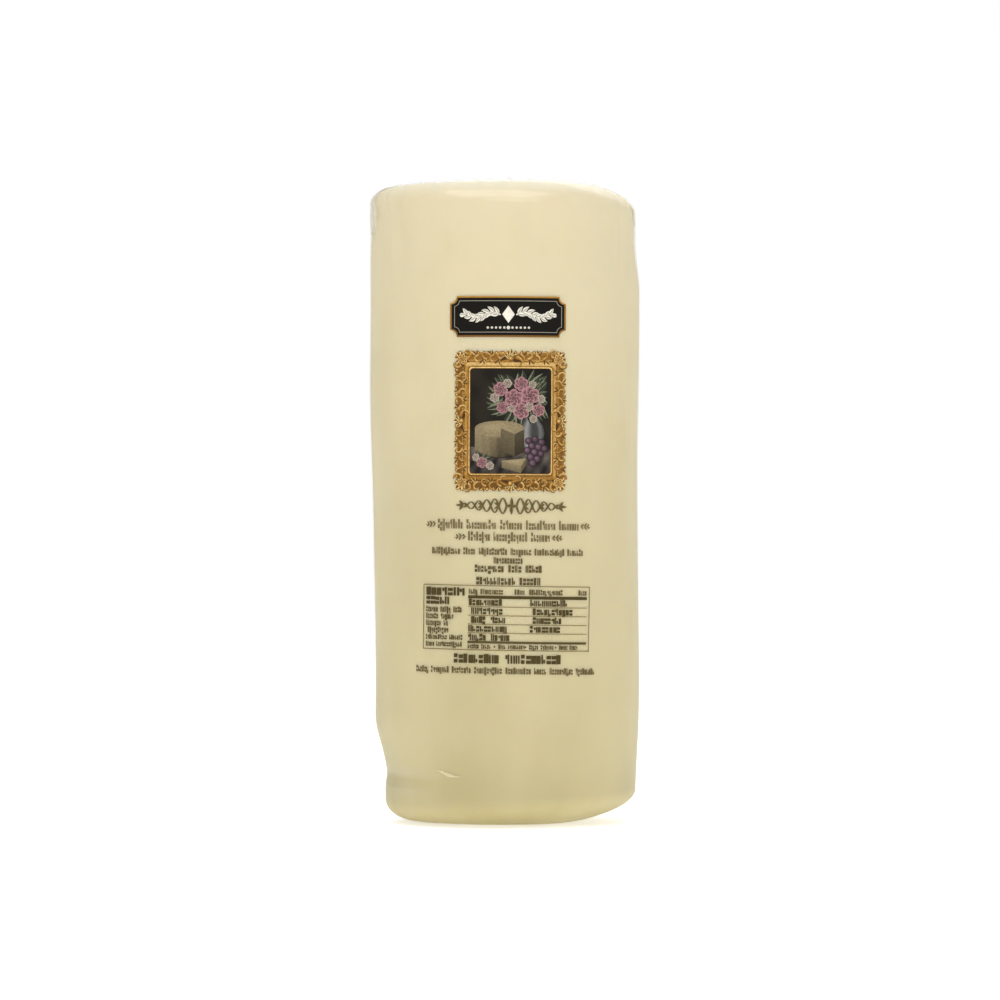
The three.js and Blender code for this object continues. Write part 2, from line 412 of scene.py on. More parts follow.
class Nodes:
    """Adds nodes to a tree. An input gets a value, or a link from a socket or from a node's first output."""

    def __init__(self, tree):
        self.tree = tree
        tree.nodes.clear()

    def add(self, kind, inputs=None, **settings):
        node = self.tree.nodes.new(kind)
        for key, value in settings.items():
            setattr(node, key, value)
        for key, value in (inputs or {}).items():
            self.feed(node.inputs[key], value)
        return node

    def feed(self, socket, value):
        if isinstance(value, bpy.types.Node):
            value = value.outputs[0]
        if isinstance(value, bpy.types.NodeSocket):
            self.tree.links.new(value, socket)
        else:
            socket.default_value = (*value, 1.0) if socket.type == "RGBA" else value

    def shader(self, kind, inputs=None, **settings):
        return self.add(f"ShaderNode{kind}", inputs, **settings)

    def geometry(self, kind, inputs=None, **settings):
        return self.add(f"GeometryNode{kind}", inputs, **settings)

    def calc(self, operation, a, b=0.0, c=0.0, clamp=False):
        return self.shader("Math", {0: a, 1: b, 2: c}, operation=operation, use_clamp=clamp)

    def vector(self, operation, a, b=(0, 0, 0)):
        return self.shader("VectorMath", {0: a, 1: b}, operation=operation)

    def scaled(self, vector, scale):
        return self.shader("VectorMath", {0: vector, "Scale": scale}, operation="SCALE")

    def xyz(self, x, y, z):
        return self.shader("CombineXYZ", {0: x, 1: y, 2: z})

    def span(self, value, low, high, to_low=0.0, to_high=1.0, smooth=False):
        kind = "SMOOTHSTEP" if smooth else "LINEAR"
        inputs = {0: value, 1: low, 2: high, 3: to_low, 4: to_high}
        return self.shader("MapRange", inputs, interpolation_type=kind)

    def mix(self, share, a, b):
        inputs = {0: share, 6: a, 7: b}
        return self.shader("Mix", inputs, data_type="RGBA", clamp_factor=True).outputs[2]

    def place(self):
        return self.shader("TexCoord").outputs["Object"]

    def noise(self, scale, detail, roughness=0.5, stretch=(1, 1, 1), offset=(0, 0, 0), distortion=0.0):
        moved = self.shader("Mapping", {"Vector": self.place(), "Location": offset, "Scale": stretch})
        inputs = {"Scale": scale, "Detail": detail, "Roughness": roughness, "Distortion": distortion}
        return self.shader("TexNoise", {"Vector": moved, **inputs})

    def bump(self, strength, distance, height):
        return self.shader("Bump", {"Strength": strength, "Distance": distance, "Height": height})

    def attribute(self, name):
        return self.shader("Attribute", attribute_type="GEOMETRY", attribute_name=name).outputs["Fac"]

    def principled(self, inputs):
        self.shader("OutputMaterial", {"Surface": self.shader("BsdfPrincipled", inputs)})

    def named(self, name):
        return self.geometry("InputNamedAttribute", {"Name": name}, data_type="FLOAT")

    def mesh_of(self, target):
        return self.geometry("ObjectInfo", {"Object": target}, transform_space="RELATIVE").outputs["Geometry"]

    def copies(self, points, instance, turn, wide, tall):
        """Copies of a flat thing at points, each turned and scaled within its plane."""
        inputs = {"Rotation": self.xyz(0.0, turn, 0.0), "Scale": self.xyz(wide, 1.0, tall)}
        return self.geometry("InstanceOnPoints", {"Points": points, "Instance": instance, **inputs})

    def joined(self, parts):
        whole = self.geometry("JoinGeometry")
        for part in parts:
            self.feed(whole.inputs[0], part)
        return whole


# ---------------------------------------------------------------- materials

def srgb(red, green, blue):
    """A colour given as 0 to 255 display values."""
    shares = (red / 255, green / 255, blue / 255)
    return tuple(((c + 0.055) / 1.055) ** 2.4 if c > 0.04 else c / 12.92 for c in shares)


def new_material(name):
    material = bpy.data.materials.new(name)
    material.use_nodes = True
    return material, Nodes(material.node_tree)


def cheese_material(looks):
    """Pale waxy cheese, softly clouded, with painted shade darkening it from the shoulder to the foot."""
    material, nodes = new_material("provolone_cheese")
    height = nodes.shader("SeparateXYZ", {0: nodes.place()}).outputs[2]
    # painted shade: the lit colour of the shoulder runs down to a darker, deeper colour at the foot, where
    # less light falls
    rise = nodes.calc("POWER", nodes.span(height, 0.0, LOG_TOP), 0.45)
    colour = nodes.mix(rise, looks.cheese_foot_painted_shade, looks.cheese_shoulder_painted_light)
    clouds = nodes.span(nodes.noise(22, 3, 0.5, (1, 1, 0.55), (0.3, 0.1, 0.7)), 0.36, 0.66, smooth=True)
    colour = nodes.mix(nodes.calc("MULTIPLY", clouds, 0.28), colour, looks.cheese_cloud)
    veins = nodes.span(nodes.noise(55, 4, 0.55, (1, 1, 0.7), (1.7, 0.4, 0.2), 0.4), 0.5, 0.72, smooth=True)
    colour = nodes.mix(nodes.calc("MULTIPLY", veins, 0.14), colour, looks.cheese_vein)
    # painted highlight: the cheese turns pale along the top's edge, where the film catches the light from
    # above
    rim = nodes.span(height, LOG_TOP - 0.0085, LOG_TOP - 0.001, 0.0, 0.85, smooth=True)
    curd = nodes.noise(140, 3, 0.5, (1, 1, 0.6))
    grain = nodes.noise(900, 4, 0.6)
    nodes.principled(
        {
            "Base Color": nodes.mix(rim, colour, looks.cheese_rim_painted_highlight),
            "Roughness": nodes.span(curd, 0.3, 0.7, 0.46, 0.62),
            "Specular IOR Level": 0.25,
            "Subsurface Weight": 0.35,
            "Subsurface Radius": (1.0, 0.62, 0.28),
            "Subsurface Scale": 0.005,
            "Normal": nodes.bump(0.08, 0.0003, nodes.calc("MULTIPLY_ADD", grain, 0.3, curd)),
        }
    )
    return material


def film_material(name, milk_colour, haze_low, haze_high, slack_gloss=0.07):
    """Clear film: see-through where it clings, milky where it is slack and where light is painted on as
    milkiness, glossy with faint scuffs.

    Its inner side, where the attribute outside is 0, is wholly clear.
    """
    material, nodes = new_material(name)
    slack, outside = nodes.attribute("slack"), nodes.attribute("outside")
    fog = nodes.noise(60, 4, 0.6, (1, 1, 0.5))
    specks = nodes.span(nodes.noise(420, 2, 0.5, (1, 1, 0.25)), 0.62, 0.78, 0.0, 0.05)
    # the haze follows the slack and the painted light added to it
    haze = nodes.span(slack, 0.0, 1.0, haze_low, haze_high)
    haze = nodes.calc("MULTIPLY", haze, nodes.span(fog, 0.3, 0.7, 0.7, 1.3))
    haze = nodes.calc("MULTIPLY", nodes.calc("ADD", haze, specks, clamp=True), outside)
    ripple = nodes.noise(70, 3, 0.5, (1.6, 1.6, 0.35), distortion=0.3)
    scuff = nodes.noise(700, 3, 0.6, (1, 1, 0.12))
    bump = nodes.bump(0.3, 0.0006, nodes.calc("MULTIPLY_ADD", scuff, 0.08, ripple))
    rough = nodes.span(fog, 0.3, 0.7, 0.11, 0.24)
    see_through = nodes.shader("BsdfTransparent", {"Color": (0.985, 0.985, 0.975)})
    lit = nodes.shader("BsdfDiffuse", {"Color": milk_colour})
    glow = nodes.shader("BsdfTranslucent", {"Color": milk_colour})
    milk = nodes.shader("MixShader", {0: 0.15, 1: lit, 2: glow})
    gloss = nodes.shader("BsdfGlossy", {"Color": (1, 1, 1), "Roughness": rough, "Normal": bump})
    facing = nodes.shader("LayerWeight", {"Blend": 0.5, "Normal": bump}).outputs["Facing"]
    mirror = nodes.calc("MULTIPLY_ADD", nodes.calc("POWER", facing, 5.0), 0.07, 0.04)
    mirror = nodes.calc("ADD", nodes.span(slack, 0.5, 1.0, 0.0, slack_gloss), mirror)
    body = nodes.shader("MixShader", {0: haze, 1: see_through, 2: milk})
    skin = nodes.shader("MixShader", {0: nodes.calc("MULTIPLY", mirror, outside), 1: body, 2: gloss})
    nodes.shader("OutputMaterial", {"Surface": skin})
    return material


def ink_material(name, dark, light, roughness=0.5, mottle=0.12, middle=None):
    """Printing ink: its tone runs from dark to light over a motif, and its film is slightly uneven."""
    material, nodes = new_material(name)
    tone = nodes.attribute("tone")
    if middle is None:
        colour = nodes.mix(tone, dark, light)
    else:
        colour = nodes.mix(nodes.span(tone, 0.0, 0.5), dark, middle)
        colour = nodes.mix(nodes.span(tone, 0.5, 1.0), colour, light)
    blots = nodes.span(nodes.noise(1300, 3, 0.6), 0.3, 0.7, 1.0 - mottle, 1.0 + mottle)
    nodes.principled(
        {
            "Base Color": nodes.scaled(colour, blots),
            "Roughness": nodes.span(nodes.noise(500, 2), 0.3, 0.7, roughness - 0.08, roughness + 0.08),
            "Specular IOR Level": 0.12,
            "Normal": nodes.bump(0.1, 0.00005, nodes.noise(2600, 2)),
        }
    )
    return material


# Inks with colours of their own: dark and light as display values, and how uneven each is.
INKS = {
    "pale_ink": ((120, 114, 98), (232, 227, 212), 0.12),
    "umber_ink": ((13, 11, 12), (50, 44, 32), 0.12),
    "linen_ink": ((24, 20, 20), (106, 96, 87), 0.2),
    "pewter_ink": ((26, 27, 30), (148, 146, 140), 0.12),
    "leaf_ink": ((22, 30, 24), (120, 124, 98), 0.25),
    "cream_ink": ((26, 20, 13), (154, 138, 104), 0.2),
    "grape_ink": ((26, 18, 26), (128, 100, 112), 0.12),
    "panel_roses_ink": ((40, 18, 26), (188, 138, 140), 0.25),
    "panel_cream_blossoms_ink": ((60, 44, 40), (200, 184, 166), 0.25),
}


def listed_ink(name):
    dark, light, mottle = INKS[name]
    return ink_material(name, srgb(*dark), srgb(*light), mottle=mottle)


# ---------------------------------------------------------------- flat art

# Where the printed ornament is lit from.
LIGHT_FROM = np.array((0.2, 0.98))


def left_of(ahead):
    """Unit vectors to the left of each direction."""
    ahead = unit(ahead)
    return np.stack((-ahead[:, 1], ahead[:, 0]), 1)


def winding(root, heading, length, curl, count, power=1.0):
    """A line that turns by curl over its length, and the share of the way at each of its points."""
    share = np.linspace(0, 1, count)
    angle = heading + curl * share**power
    steps = np.stack((np.cos(angle), np.sin(angle)), 1) * (length / (count - 1))
    return share, np.asarray(root, float) + np.vstack(((0, 0), np.cumsum(steps[:-1], axis=0)))


def ellipse(centre, half_u, half_v, count):
    turn = np.arange(count) * 2 * np.pi / count
    return np.stack((centre[0] + half_u * np.cos(turn), centre[1] + half_v * np.sin(turn)), 1)


def along_loop(corners, spacing):
    """Points of a closed polygon, set apart by about the spacing."""
    points = []
    for a, b in zip(corners, np.roll(corners, -1, 0)):
        count = max(1, round(float(np.linalg.norm(b - a)) / spacing))
        points += [a + (b - a) * k / count for k in range(count)]
    return np.array(points)


def placed(places, at, degrees):
    """Places (u, v) turned about the origin, anticlockwise for the viewer, and then moved."""
    turn = math.radians(degrees)
    u, v = np.asarray(places, float).T
    across = at[0] + u * math.cos(turn) - v * math.sin(turn)
    return np.stack((across, at[1] + u * math.sin(turn) + v * math.cos(turn)), 1)


class FlatArt:
    """Flat patches in millimetres, u to the right and v up, with a lift towards the viewer and a tone."""

    def __init__(self):
        self.points, self.tones, self.faces = [], [], []

    def add(self, points, tones, faces):
        start = len(self.points)
        self.points += [tuple(point) for point in points]
        self.tones += [float(tone) for tone in tones]
        self.faces += [tuple(start + k for k in face) for face in faces]

    def grid(self, points, tones):
        """An open sheet from rows of (u, v, lift), each row anticlockwise from the one before."""
        self.add(points.reshape(-1, 3), np.ravel(tones), quads(*points.shape[:2]))

    def sheet(self, rows, lift=0.0):
        """An open sheet from rows of (u, v, tone), the lowest first."""
        u, v, tones = np.array([np.broadcast_arrays(*row) for row in rows]).swapaxes(0, 1)
        self.grid(np.stack((u, v, np.full(u.shape, lift)), 2), np.clip(tones, 0, 1))

    def ring(self, loops, tones, lifts=0.0):
        """Bands between closed loops, the outermost first."""
        around = len(loops[0])
        lifts = np.broadcast_to(lifts, len(loops))
        points = [(u, v, lift) for loop, lift in zip(loops, lifts) for u, v in loop]
        tones = np.concatenate([np.broadcast_to(tone, around) for tone in tones])
        pairs = [(k, (k + 1) % around) for k in range(around)]
        starts = range(0, (len(loops) - 1) * around, around)
        faces = [(s + a, s + b, s + around + b, s + around + a) for s in starts for a, b in pairs]
        self.add(points, tones, faces)

    def field(self, loop, centre, steps, tones, lift=0.0, dome=0.0):
        """A shape that every line from its centre crosses once, with tones at its rim and its middle."""
        loop, centre = np.asarray(loop, float), np.asarray(centre, float)
        shares = np.linspace(1, 0, steps + 1)[:-1]
        rim, middle = tones
        loops = [centre + (loop - centre) * share for share in shares]
        self.ring(loops, rim + (middle - rim) * (1 - shares), lift + dome * (1 - shares**2))
        around = len(loop)
        last = len(self.points) - around
        self.points.append((*centre, lift + dome))
        self.tones.append(float(middle))
        self.faces += [(last + k, last + (k + 1) % around, last + around) for k in range(around)]

    def dot(self, centre, radius, count, tones, steps=1, lift=0.0, dome=0.0, light=(0, 0)):
        """A round spot whose middle tone is off its centre by light."""
        middle = (centre[0] + light[0], centre[1] + light[1])
        self.field(ellipse(centre, radius, radius, count), middle, steps, tones, lift, dome)

    def stroke(self, line, widths, tones, lift=0.0, dome=0.0, across=2, fade=False, relief=0.0):
        """A ribbon along a line of (u, v), with a width and a tone at each point.

        With fade its tone and its dome fall to nothing at both edges; relief shades it as a round
        moulding that is lit from above.
        """
        line = np.asarray(line, float)
        widths = np.broadcast_to(widths, len(line))
        tones = np.broadcast_to(tones, len(line))
        left = left_of(np.gradient(line, axis=0))
        rows, shades = [], []
        for share in np.linspace(-0.5, 0.5, across + 1):
            arch = 1 - (2 * share) ** 2
            height = dome * arch * tones if fade else np.full(len(line), dome * arch)
            rows.append(np.column_stack((line + left * (widths * share)[:, None], lift + height)))
            shade = tones * arch**1.5 if fade else tones
            light = 2 * share * (left @ LIGHT_FROM) + 0.5 * arch - 0.4
            shades.append(np.clip(shade + relief * light, 0, 1))
        self.grid(np.array(rows), np.array(shades))

    def scroll(self, root, heading, length, width, curl, tone=0.5):
        """A tapering stroke that winds up tighter towards its end."""
        share, line = winding(root, heading, length, curl, 22, 1.6)
        self.stroke(line, width * (1.05 - 0.7 * share), tone, 0.05, across=4, relief=0.5)

    def leaf(self, root, heading, length, width, tones, curl=0.0, lift=0.0):
        """A pointed leaf, its left half in the second tone and its rib dark."""
        share, line = winding(root, heading, length, curl, 9)
        widths = width * np.sin(np.pi * np.clip(share * 0.96 + 0.02, 0, 1) ** 0.8)
        left = left_of(np.gradient(line, axis=0))
        rows = []
        for across in (-0.5, -0.2, 0.0, 0.2, 0.5):
            raised = np.full(len(line), lift + 0.02 * (across != 0))
            rows.append(np.column_stack((line + left * (widths * across)[:, None], raised)))
        low, high = tones
        self.grid(np.array(rows), np.repeat((low, low, 0.05, high, high), len(line)))

    def object(self, name, at=(0, 0), tilt=0.0, values=None):
        points = np.array(self.points)
        places = np.column_stack((placed(points[:, :2], at, tilt), points[:, 2]))
        return flat_object(name, places, self.faces, {"tone": self.tones, **(values or {})})


# ---------------------------------------------------------------- geometry node trees

def new_tree(name, **sockets):
    tree = bpy.data.node_groups.new(name, "GeometryNodeTree")
    for label, kind in {"Geometry": "Geometry", **sockets}.items():
        tree.interface.new_socket(label, in_out="INPUT", socket_type=f"NodeSocket{kind}")
    tree.interface.new_socket("Geometry", in_out="OUTPUT", socket_type="NodeSocketGeometry")
    nodes = Nodes(tree)
    return nodes, nodes.add("NodeGroupInput").outputs


def close_tree(nodes, geometry, material):
    realized = nodes.geometry("RealizeInstances", {"Geometry": geometry})
    painted = nodes.geometry("SetMaterial", {"Geometry": realized, "Material": material})
    nodes.add("NodeGroupOutput", {"Geometry": painted})
    return nodes.tree


# How far outside the log's axis each ray starts, and how long it is, in metres.
RAY_START = 0.2
RAY_LENGTH = 0.4
MERGE_DISTANCE = 2e-6


@functools.cache
def lay_round_log_tree():
    """Bends flat art round the log, lays it on a target mesh and gives it thickness."""
    sockets = {"Target": "Object", "Radius": "Float", "Lift": "Float", "Thickness": "Float"}
    nodes, given = new_tree("lay_round_log", **sockets, Material="Material")
    position = nodes.geometry("InputPosition")
    u, down, v = nodes.shader("SeparateXYZ", {0: position}).outputs
    azimuth = nodes.calc("DIVIDE", u, given["Radius"])
    back = nodes.calc("MULTIPLY", nodes.calc("COSINE", azimuth), -1.0)
    outward = nodes.xyz(nodes.calc("SINE", azimuth), back, 0.0)
    ray = nodes.geometry(
        "Raycast",
        {
            "Target Geometry": nodes.mesh_of(given["Target"]),
            "Source Position": nodes.vector("ADD", nodes.scaled(outward, RAY_START), nodes.xyz(0.0, 0.0, v)),
            "Ray Direction": nodes.scaled(outward, -1.0),
            "Ray Length": RAY_LENGTH,
        },
    )
    lift = nodes.calc("SUBTRACT", given["Lift"], down)
    laid = nodes.vector("ADD", ray.outputs["Hit Position"], nodes.scaled(outward, lift))
    sheet = nodes.geometry("SetPosition", {"Geometry": given["Geometry"], "Position": laid})
    offset = nodes.vector("NORMALIZE", nodes.vector("MULTIPLY", position, (1, 1, 0)))
    inputs = {"Mesh": sheet, "Offset": offset, "Offset Scale": given["Thickness"], "Individual": False}
    upper = nodes.geometry("ExtrudeMesh", inputs)
    inside = nodes.geometry("StoreNamedAttribute", {"Geometry": sheet, "Name": "outside", "Value": 0.0})
    both = nodes.joined((upper, nodes.geometry("FlipFaces", {"Mesh": inside})))
    whole = nodes.geometry("MergeByDistance", {"Geometry": both, "Distance": MERGE_DISTANCE})
    return close_tree(nodes, whole, given["Material"])


@functools.cache
def marks_tree():
    """Copies a mark to each point, as wide and tall as the point says."""
    nodes, given = new_tree("row_of_marks", Mark="Object", Material="Material")
    mark = nodes.mesh_of(given["Mark"])
    size = nodes.named("wide"), nodes.named("tall")
    marks = nodes.copies(given["Geometry"], mark, nodes.named("lean"), *size)
    return close_tree(nodes, marks, given["Material"])


@functools.cache
def beads_tree():
    """Sets a bead along closed lines at an even spacing, turned to follow them."""
    sockets = {"Bead": "Object", "Spacing": "Float", "Size": "Float", "Material": "Material"}
    nodes, given = new_tree("beads_along_line", **sockets)
    curve = nodes.geometry("MeshToCurve", {"Mesh": given["Geometry"]})
    even = nodes.geometry("ResampleCurve", {"Curve": curve, "Length": given["Spacing"]}, mode="LENGTH")
    along_u, _, along_v = nodes.shader("SeparateXYZ", {0: nodes.geometry("InputTangent")}).outputs
    turn = nodes.calc("MULTIPLY", nodes.calc("ARCTAN2", along_v, along_u), -1.0)
    bead = nodes.mesh_of(given["Bead"])
    return close_tree(nodes, nodes.copies(even, bead, turn, given["Size"], given["Size"]), given["Material"])


# Each ring of a blossom: its size, its lift and how much of a petal's step it is turned by.
PETAL_RINGS = ((1.0, 0.0, 0.0), (0.66, 0.00002, 0.5), (0.36, 0.00004, 0.0))


@functools.cache
def blossoms_tree():
    """A ring of petals, a smaller ring inside it, and so on, at each point, as large as the point says."""
    sockets = {"Petal": "Object", "Petals": "Int", "Reach": "Float", "Material": "Material"}
    nodes, given = new_tree("petal_rings", **sockets)
    rings = []
    for size, lift, step in PETAL_RINGS:
        spots = nodes.geometry("MeshLine", {"Count": given["Petals"], "Offset": (0, 0, 0)})
        raised = nodes.geometry("SetPosition", {"Geometry": spots, "Offset": (0.0, -lift, 0.0)})
        number = nodes.calc("ADD", nodes.geometry("InputIndex"), step)
        turn = nodes.calc("MULTIPLY", nodes.calc("DIVIDE", number, given["Petals"]), 2 * math.pi)
        reach = nodes.calc("MULTIPLY", given["Reach"], size)
        rings.append(nodes.copies(raised, nodes.mesh_of(given["Petal"]), turn, reach, reach))
    wide = nodes.named("wide")
    flowers = nodes.copies(given["Geometry"], nodes.joined(rings), nodes.named("lean"), wide, wide)
    return close_tree(nodes, flowers, given["Material"])


def add_modifier(made, tree, **inputs):
    """A geometry nodes modifier with its inputs set by name, through the sockets' identifiers."""
    modifier = made.modifiers.new(tree.name, "NODES")
    modifier.node_group = tree
    sockets = [item for item in tree.interface.items_tree if item.item_type == "SOCKET"]
    identifiers = {socket.name: socket.identifier for socket in sockets if socket.in_out == "INPUT"}
    for label, value in inputs.items():
        modifier[identifiers[label]] = value


def apply_modifiers(made, smooth):
    """Turns what the modifiers give into the object's own plain mesh."""
    graph = bpy.context.evaluated_depsgraph_get()
    evaluated = made.evaluated_get(graph)
    mesh = bpy.data.meshes.new_from_object(evaluated, preserve_all_data_layers=True, depsgraph=graph)
    old = made.data
    made.modifiers.clear()
    made.data = mesh
    mesh.name = made.name
    bpy.data.meshes.remove(old)
    if not len(mesh.polygons):
        raise RuntimeError(f"{made.name} came out empty")
    mesh.polygons.foreach_set("use_smooth", [smooth] * len(mesh.polygons))


def lay_on_film(made, material, sizes, lift, thickness, smooth=False):
    """Lays a flat object on the film's outside as a thin closed mesh. Lift and thickness are in metres."""
    target = bpy.data.objects["shrink_film"]
    shape = {"Radius": sizes.body_radius, "Lift": lift, "Thickness": thickness}
    add_modifier(made, lay_round_log_tree(), Target=target, Material=material, **shape)
    apply_modifiers(made, smooth)


def print_piece(name, parts, material, sizes, lift=0.0):
    """Lays flat objects on the film as one piece of print, lifted by millimetres over other ink."""
    for part in parts:
        lay_on_film(part, material, sizes, sizes.print_lift + lift * MM, sizes.print_thickness)
    base = parts[0]
    if len(parts) > 1:
        chosen = {"selected_objects": parts, "selected_editable_objects": parts}
        with bpy.context.temp_override(active_object=base, object=base, **chosen):
            bpy.ops.object.join()
    base.name = base.data.name = name
    settle(base)


# ---------------------------------------------------------------- sizes and colours

def length(name, description, default):
    unit_settings = {"min": 0.0, "unit": "LENGTH", "subtype": "DISTANCE"}
    return FloatProperty(name=name, description=description, default=default, **unit_settings)


def colour(name, description, *display):
    limits = {"size": 3, "min": 0.0, "max": 1.0, "subtype": "COLOR"}
    return FloatVectorProperty(name=name, description=description, default=srgb(*display), **limits)


class ProvoloneSizes(bpy.types.PropertyGroup):
    """Sizes of the log, its film and its print."""

    height: length("Height", "Height of the wrapped log, without its seal", LOG_TOP - SEAL_HEIGHT * MM)
    body_radius: length("Body radius", "Radius of the barrel before its dents", 0.0569)
    film_wall: length("Film wall", "From the film's outside to its lining, set into the cheese", 0.0009)
    film_gap: length("Film gap", "From the film's outside to the cheese", 0.00036)
    print_lift: length("Print lift", "From the film to the underside of the print", 0.00001)
    print_thickness: length("Print thickness", "Thickness of a layer of ink", 0.00004)
    plaque_width: length("Plaque width", "Width of the dark plaque at the top of the print", 0.0496)
    plaque_height: length("Plaque height", "Height of the dark plaque", 0.0170)
    panel_width: length("Panel width", "Width of the gilt panel without its scallops", 0.0466)
    panel_height: length("Panel height", "Height of the gilt panel without its scallops", 0.0576)
    table_width: length("Table width", "Width of the ruled table", 0.0743)
    table_height: length("Table height", "Height of the ruled table", 0.0270)
    print_tilt: FloatProperty(
        name="Print tilt",
        description="How far the lines run down to the right",
        default=math.radians(1.0),
        subtype="ANGLE",
    )
    seed: IntProperty(name="Seed", description="Seed of the lengths of the stand-in words", default=5, min=0)


class ProvoloneLooks(bpy.types.PropertyGroup):
    """Colours of the cheese, the film and the inks."""

    # painted light and shade: the shoulder colour is the cheese as lit from above, the foot colour a darker
    # painted shade
    cheese_shoulder_painted_light: colour("Cheese at the shoulder", "Cheese colour near the top", 223, 210, 173)
    cheese_foot_painted_shade: colour("Cheese at the foot", "Cheese colour near the base", 160, 147, 79)
    # painted highlight along the top's edge
    cheese_rim_painted_highlight: colour("Cheese at the rim", "Cheese colour at the edge of the top", 243, 236, 215)
    cheese_cloud: colour("Cheese clouds", "Paler clouds in the cheese", 222, 208, 164)
    cheese_vein: colour("Cheese veins", "Deeper patches in the cheese", 194, 180, 122)
    film_milk: colour("Film milk", "Milky tint of slack film", 252, 249, 240)
    ink_black: colour("Black ink", "Ink of the plaque", 18, 15, 10)
    ink_brown: colour("Brown ink", "Ink of the strong lines", 74, 62, 30)
    ink_pale: colour("Pale ink", "Ink of the finest lines", 150, 134, 90)
    gilt_dark: colour("Gilt shade", "Hollows of the gilt ornament", 58, 33, 14)
    gilt_middle: colour("Gilt", "Body of the gilt ornament", 164, 118, 50)
    gilt_light: colour("Gilt light", "Lit edges of the gilt ornament", 230, 201, 136)


# ---------------------------------------------------------------- cheese and film

def build_cheese(sizes, looks):
    points, faces, _ = closed_skin(LogForm(sizes), CHEESE_GRID, sizes.film_gap / MM)
    settle(make_object("cheese_log", points, faces, cheese_material(looks)))


def build_film(sizes, looks):
    """The clear film, with its lining just under the cheese's skin, so that one clear layer lies over it."""
    form = LogForm(sizes)
    points, faces, slack = closed_skin(form, FILM_GRID)
    inner_points, inner_faces, lining_slack_and_painted_light = closed_skin(form, FILM_LINING_GRID, sizes.film_wall / MM)
    faces += [tuple(len(points) + k for k in reversed(face)) for face in inner_faces]
    values = {
        "slack": np.concatenate((slack, lining_slack_and_painted_light)),
        "outside": np.repeat((1.0, 0.0), (len(points), len(inner_points))),
    }
    material = film_material("clear_film", looks.film_milk, 0.03, 0.3)
    settle(make_object("shrink_film", np.vstack((points, inner_points)), faces, material, values))


class EndMap:
    """Finds the point of the film under a place (u, v) of the unrolled top."""

    STEP = 0.5
    REACH = 110.0

    def __init__(self, form):
        base, outside, _ = skin_of(form, FILM_GRID)
        depth = depth_from_top(base, form.height)
        self.columns = base.shape[1]
        runs = np.arange(0, self.REACH, self.STEP)
        self.tables = []
        for rows, top in ((outside, (0.0, 0.0, form.height)), (grid_normals(outside), (0.0, 0.0, 1.0))):
            table = np.empty((len(runs), self.columns, 3))
            for k in range(self.columns):
                down = np.append(0, depth[::-1, k])
                for axis in range(3):
                    table[:, k, axis] = np.interp(runs, down, np.append(top[axis], rows[::-1, k, axis]))
            self.tables.append(table)

    def place(self, u, v, lift):
        turn = np.arctan2(u, -v) / (2 * np.pi) * self.columns
        run = np.clip(np.hypot(u, v) / self.STEP, 0, len(self.tables[0]) - 1.001)
        column, row = np.floor(turn).astype(int), np.floor(run).astype(int)
        s, t = (turn - column)[..., None], (run - row)[..., None]
        a, b = column % self.columns, (column + 1) % self.columns
        found = []
        for table in self.tables:
            low = table[row, a] * (1 - s) + table[row, b] * s
            high = table[row + 1, a] * (1 - s) + table[row + 1, b] * s
            found.append(low * (1 - t) + high * t)
        return found[0] + unit(found[1]) * lift[..., None]


def slab(top, bottom):
    """A closed thin solid from a grid of its upper points and one of its lower points."""
    rows, columns = top.shape[:2]
    under = rows * columns
    index = np.arange(under).reshape(rows, columns)
    upper = quads(rows, columns)
    both = np.stack((upper, upper[:, (0, 3, 2, 1)] + under), 1).reshape(-1, 4)
    rim = np.concatenate((index[0], index[1:, -1], index[-1, -2::-1], index[-2:0:-1, 0]))
    after = np.roll(rim, -1)
    wall = np.stack((after, rim, rim + under, after + under), 1)
    return np.vstack((top.reshape(-1, 3), bottom.reshape(-1, 3))), np.vstack((both, wall))


# The seal on the unrolled top: (place along it, half its width), from the left ear's low edge to the right.
SEAL_OUTLINE = (
    (-72.5, 24.0), (-66.0, 25.0), (-60.5, 24.5), (-55.0, 17.0), (-49.0, 8.5), (-45.0, 5.0), (-30.0, 4.6),
    (44.0, 4.4), (50.0, 5.4), (56.0, 8.6), (62.0, 10.5), (66.0, 9.6),
)
SEAL_STEPS = (250, 26)
SEAL_LIFT = 0.34
CRIMP = {"pitch": 1.15, "half_width": 2.0, "height": 0.13}
# Where the ears begin to left and right, and the slopes of the folds that run out over them.
EAR_ROOTS = ((-1, 46.0), (1, 50.0))
EAR_FOLDS = (-1.25, -0.42, 0.3, 1.05)
# How deep the seal's underside is set, so that it lies under the cheese's skin.
SEAL_ROOT = 1.1


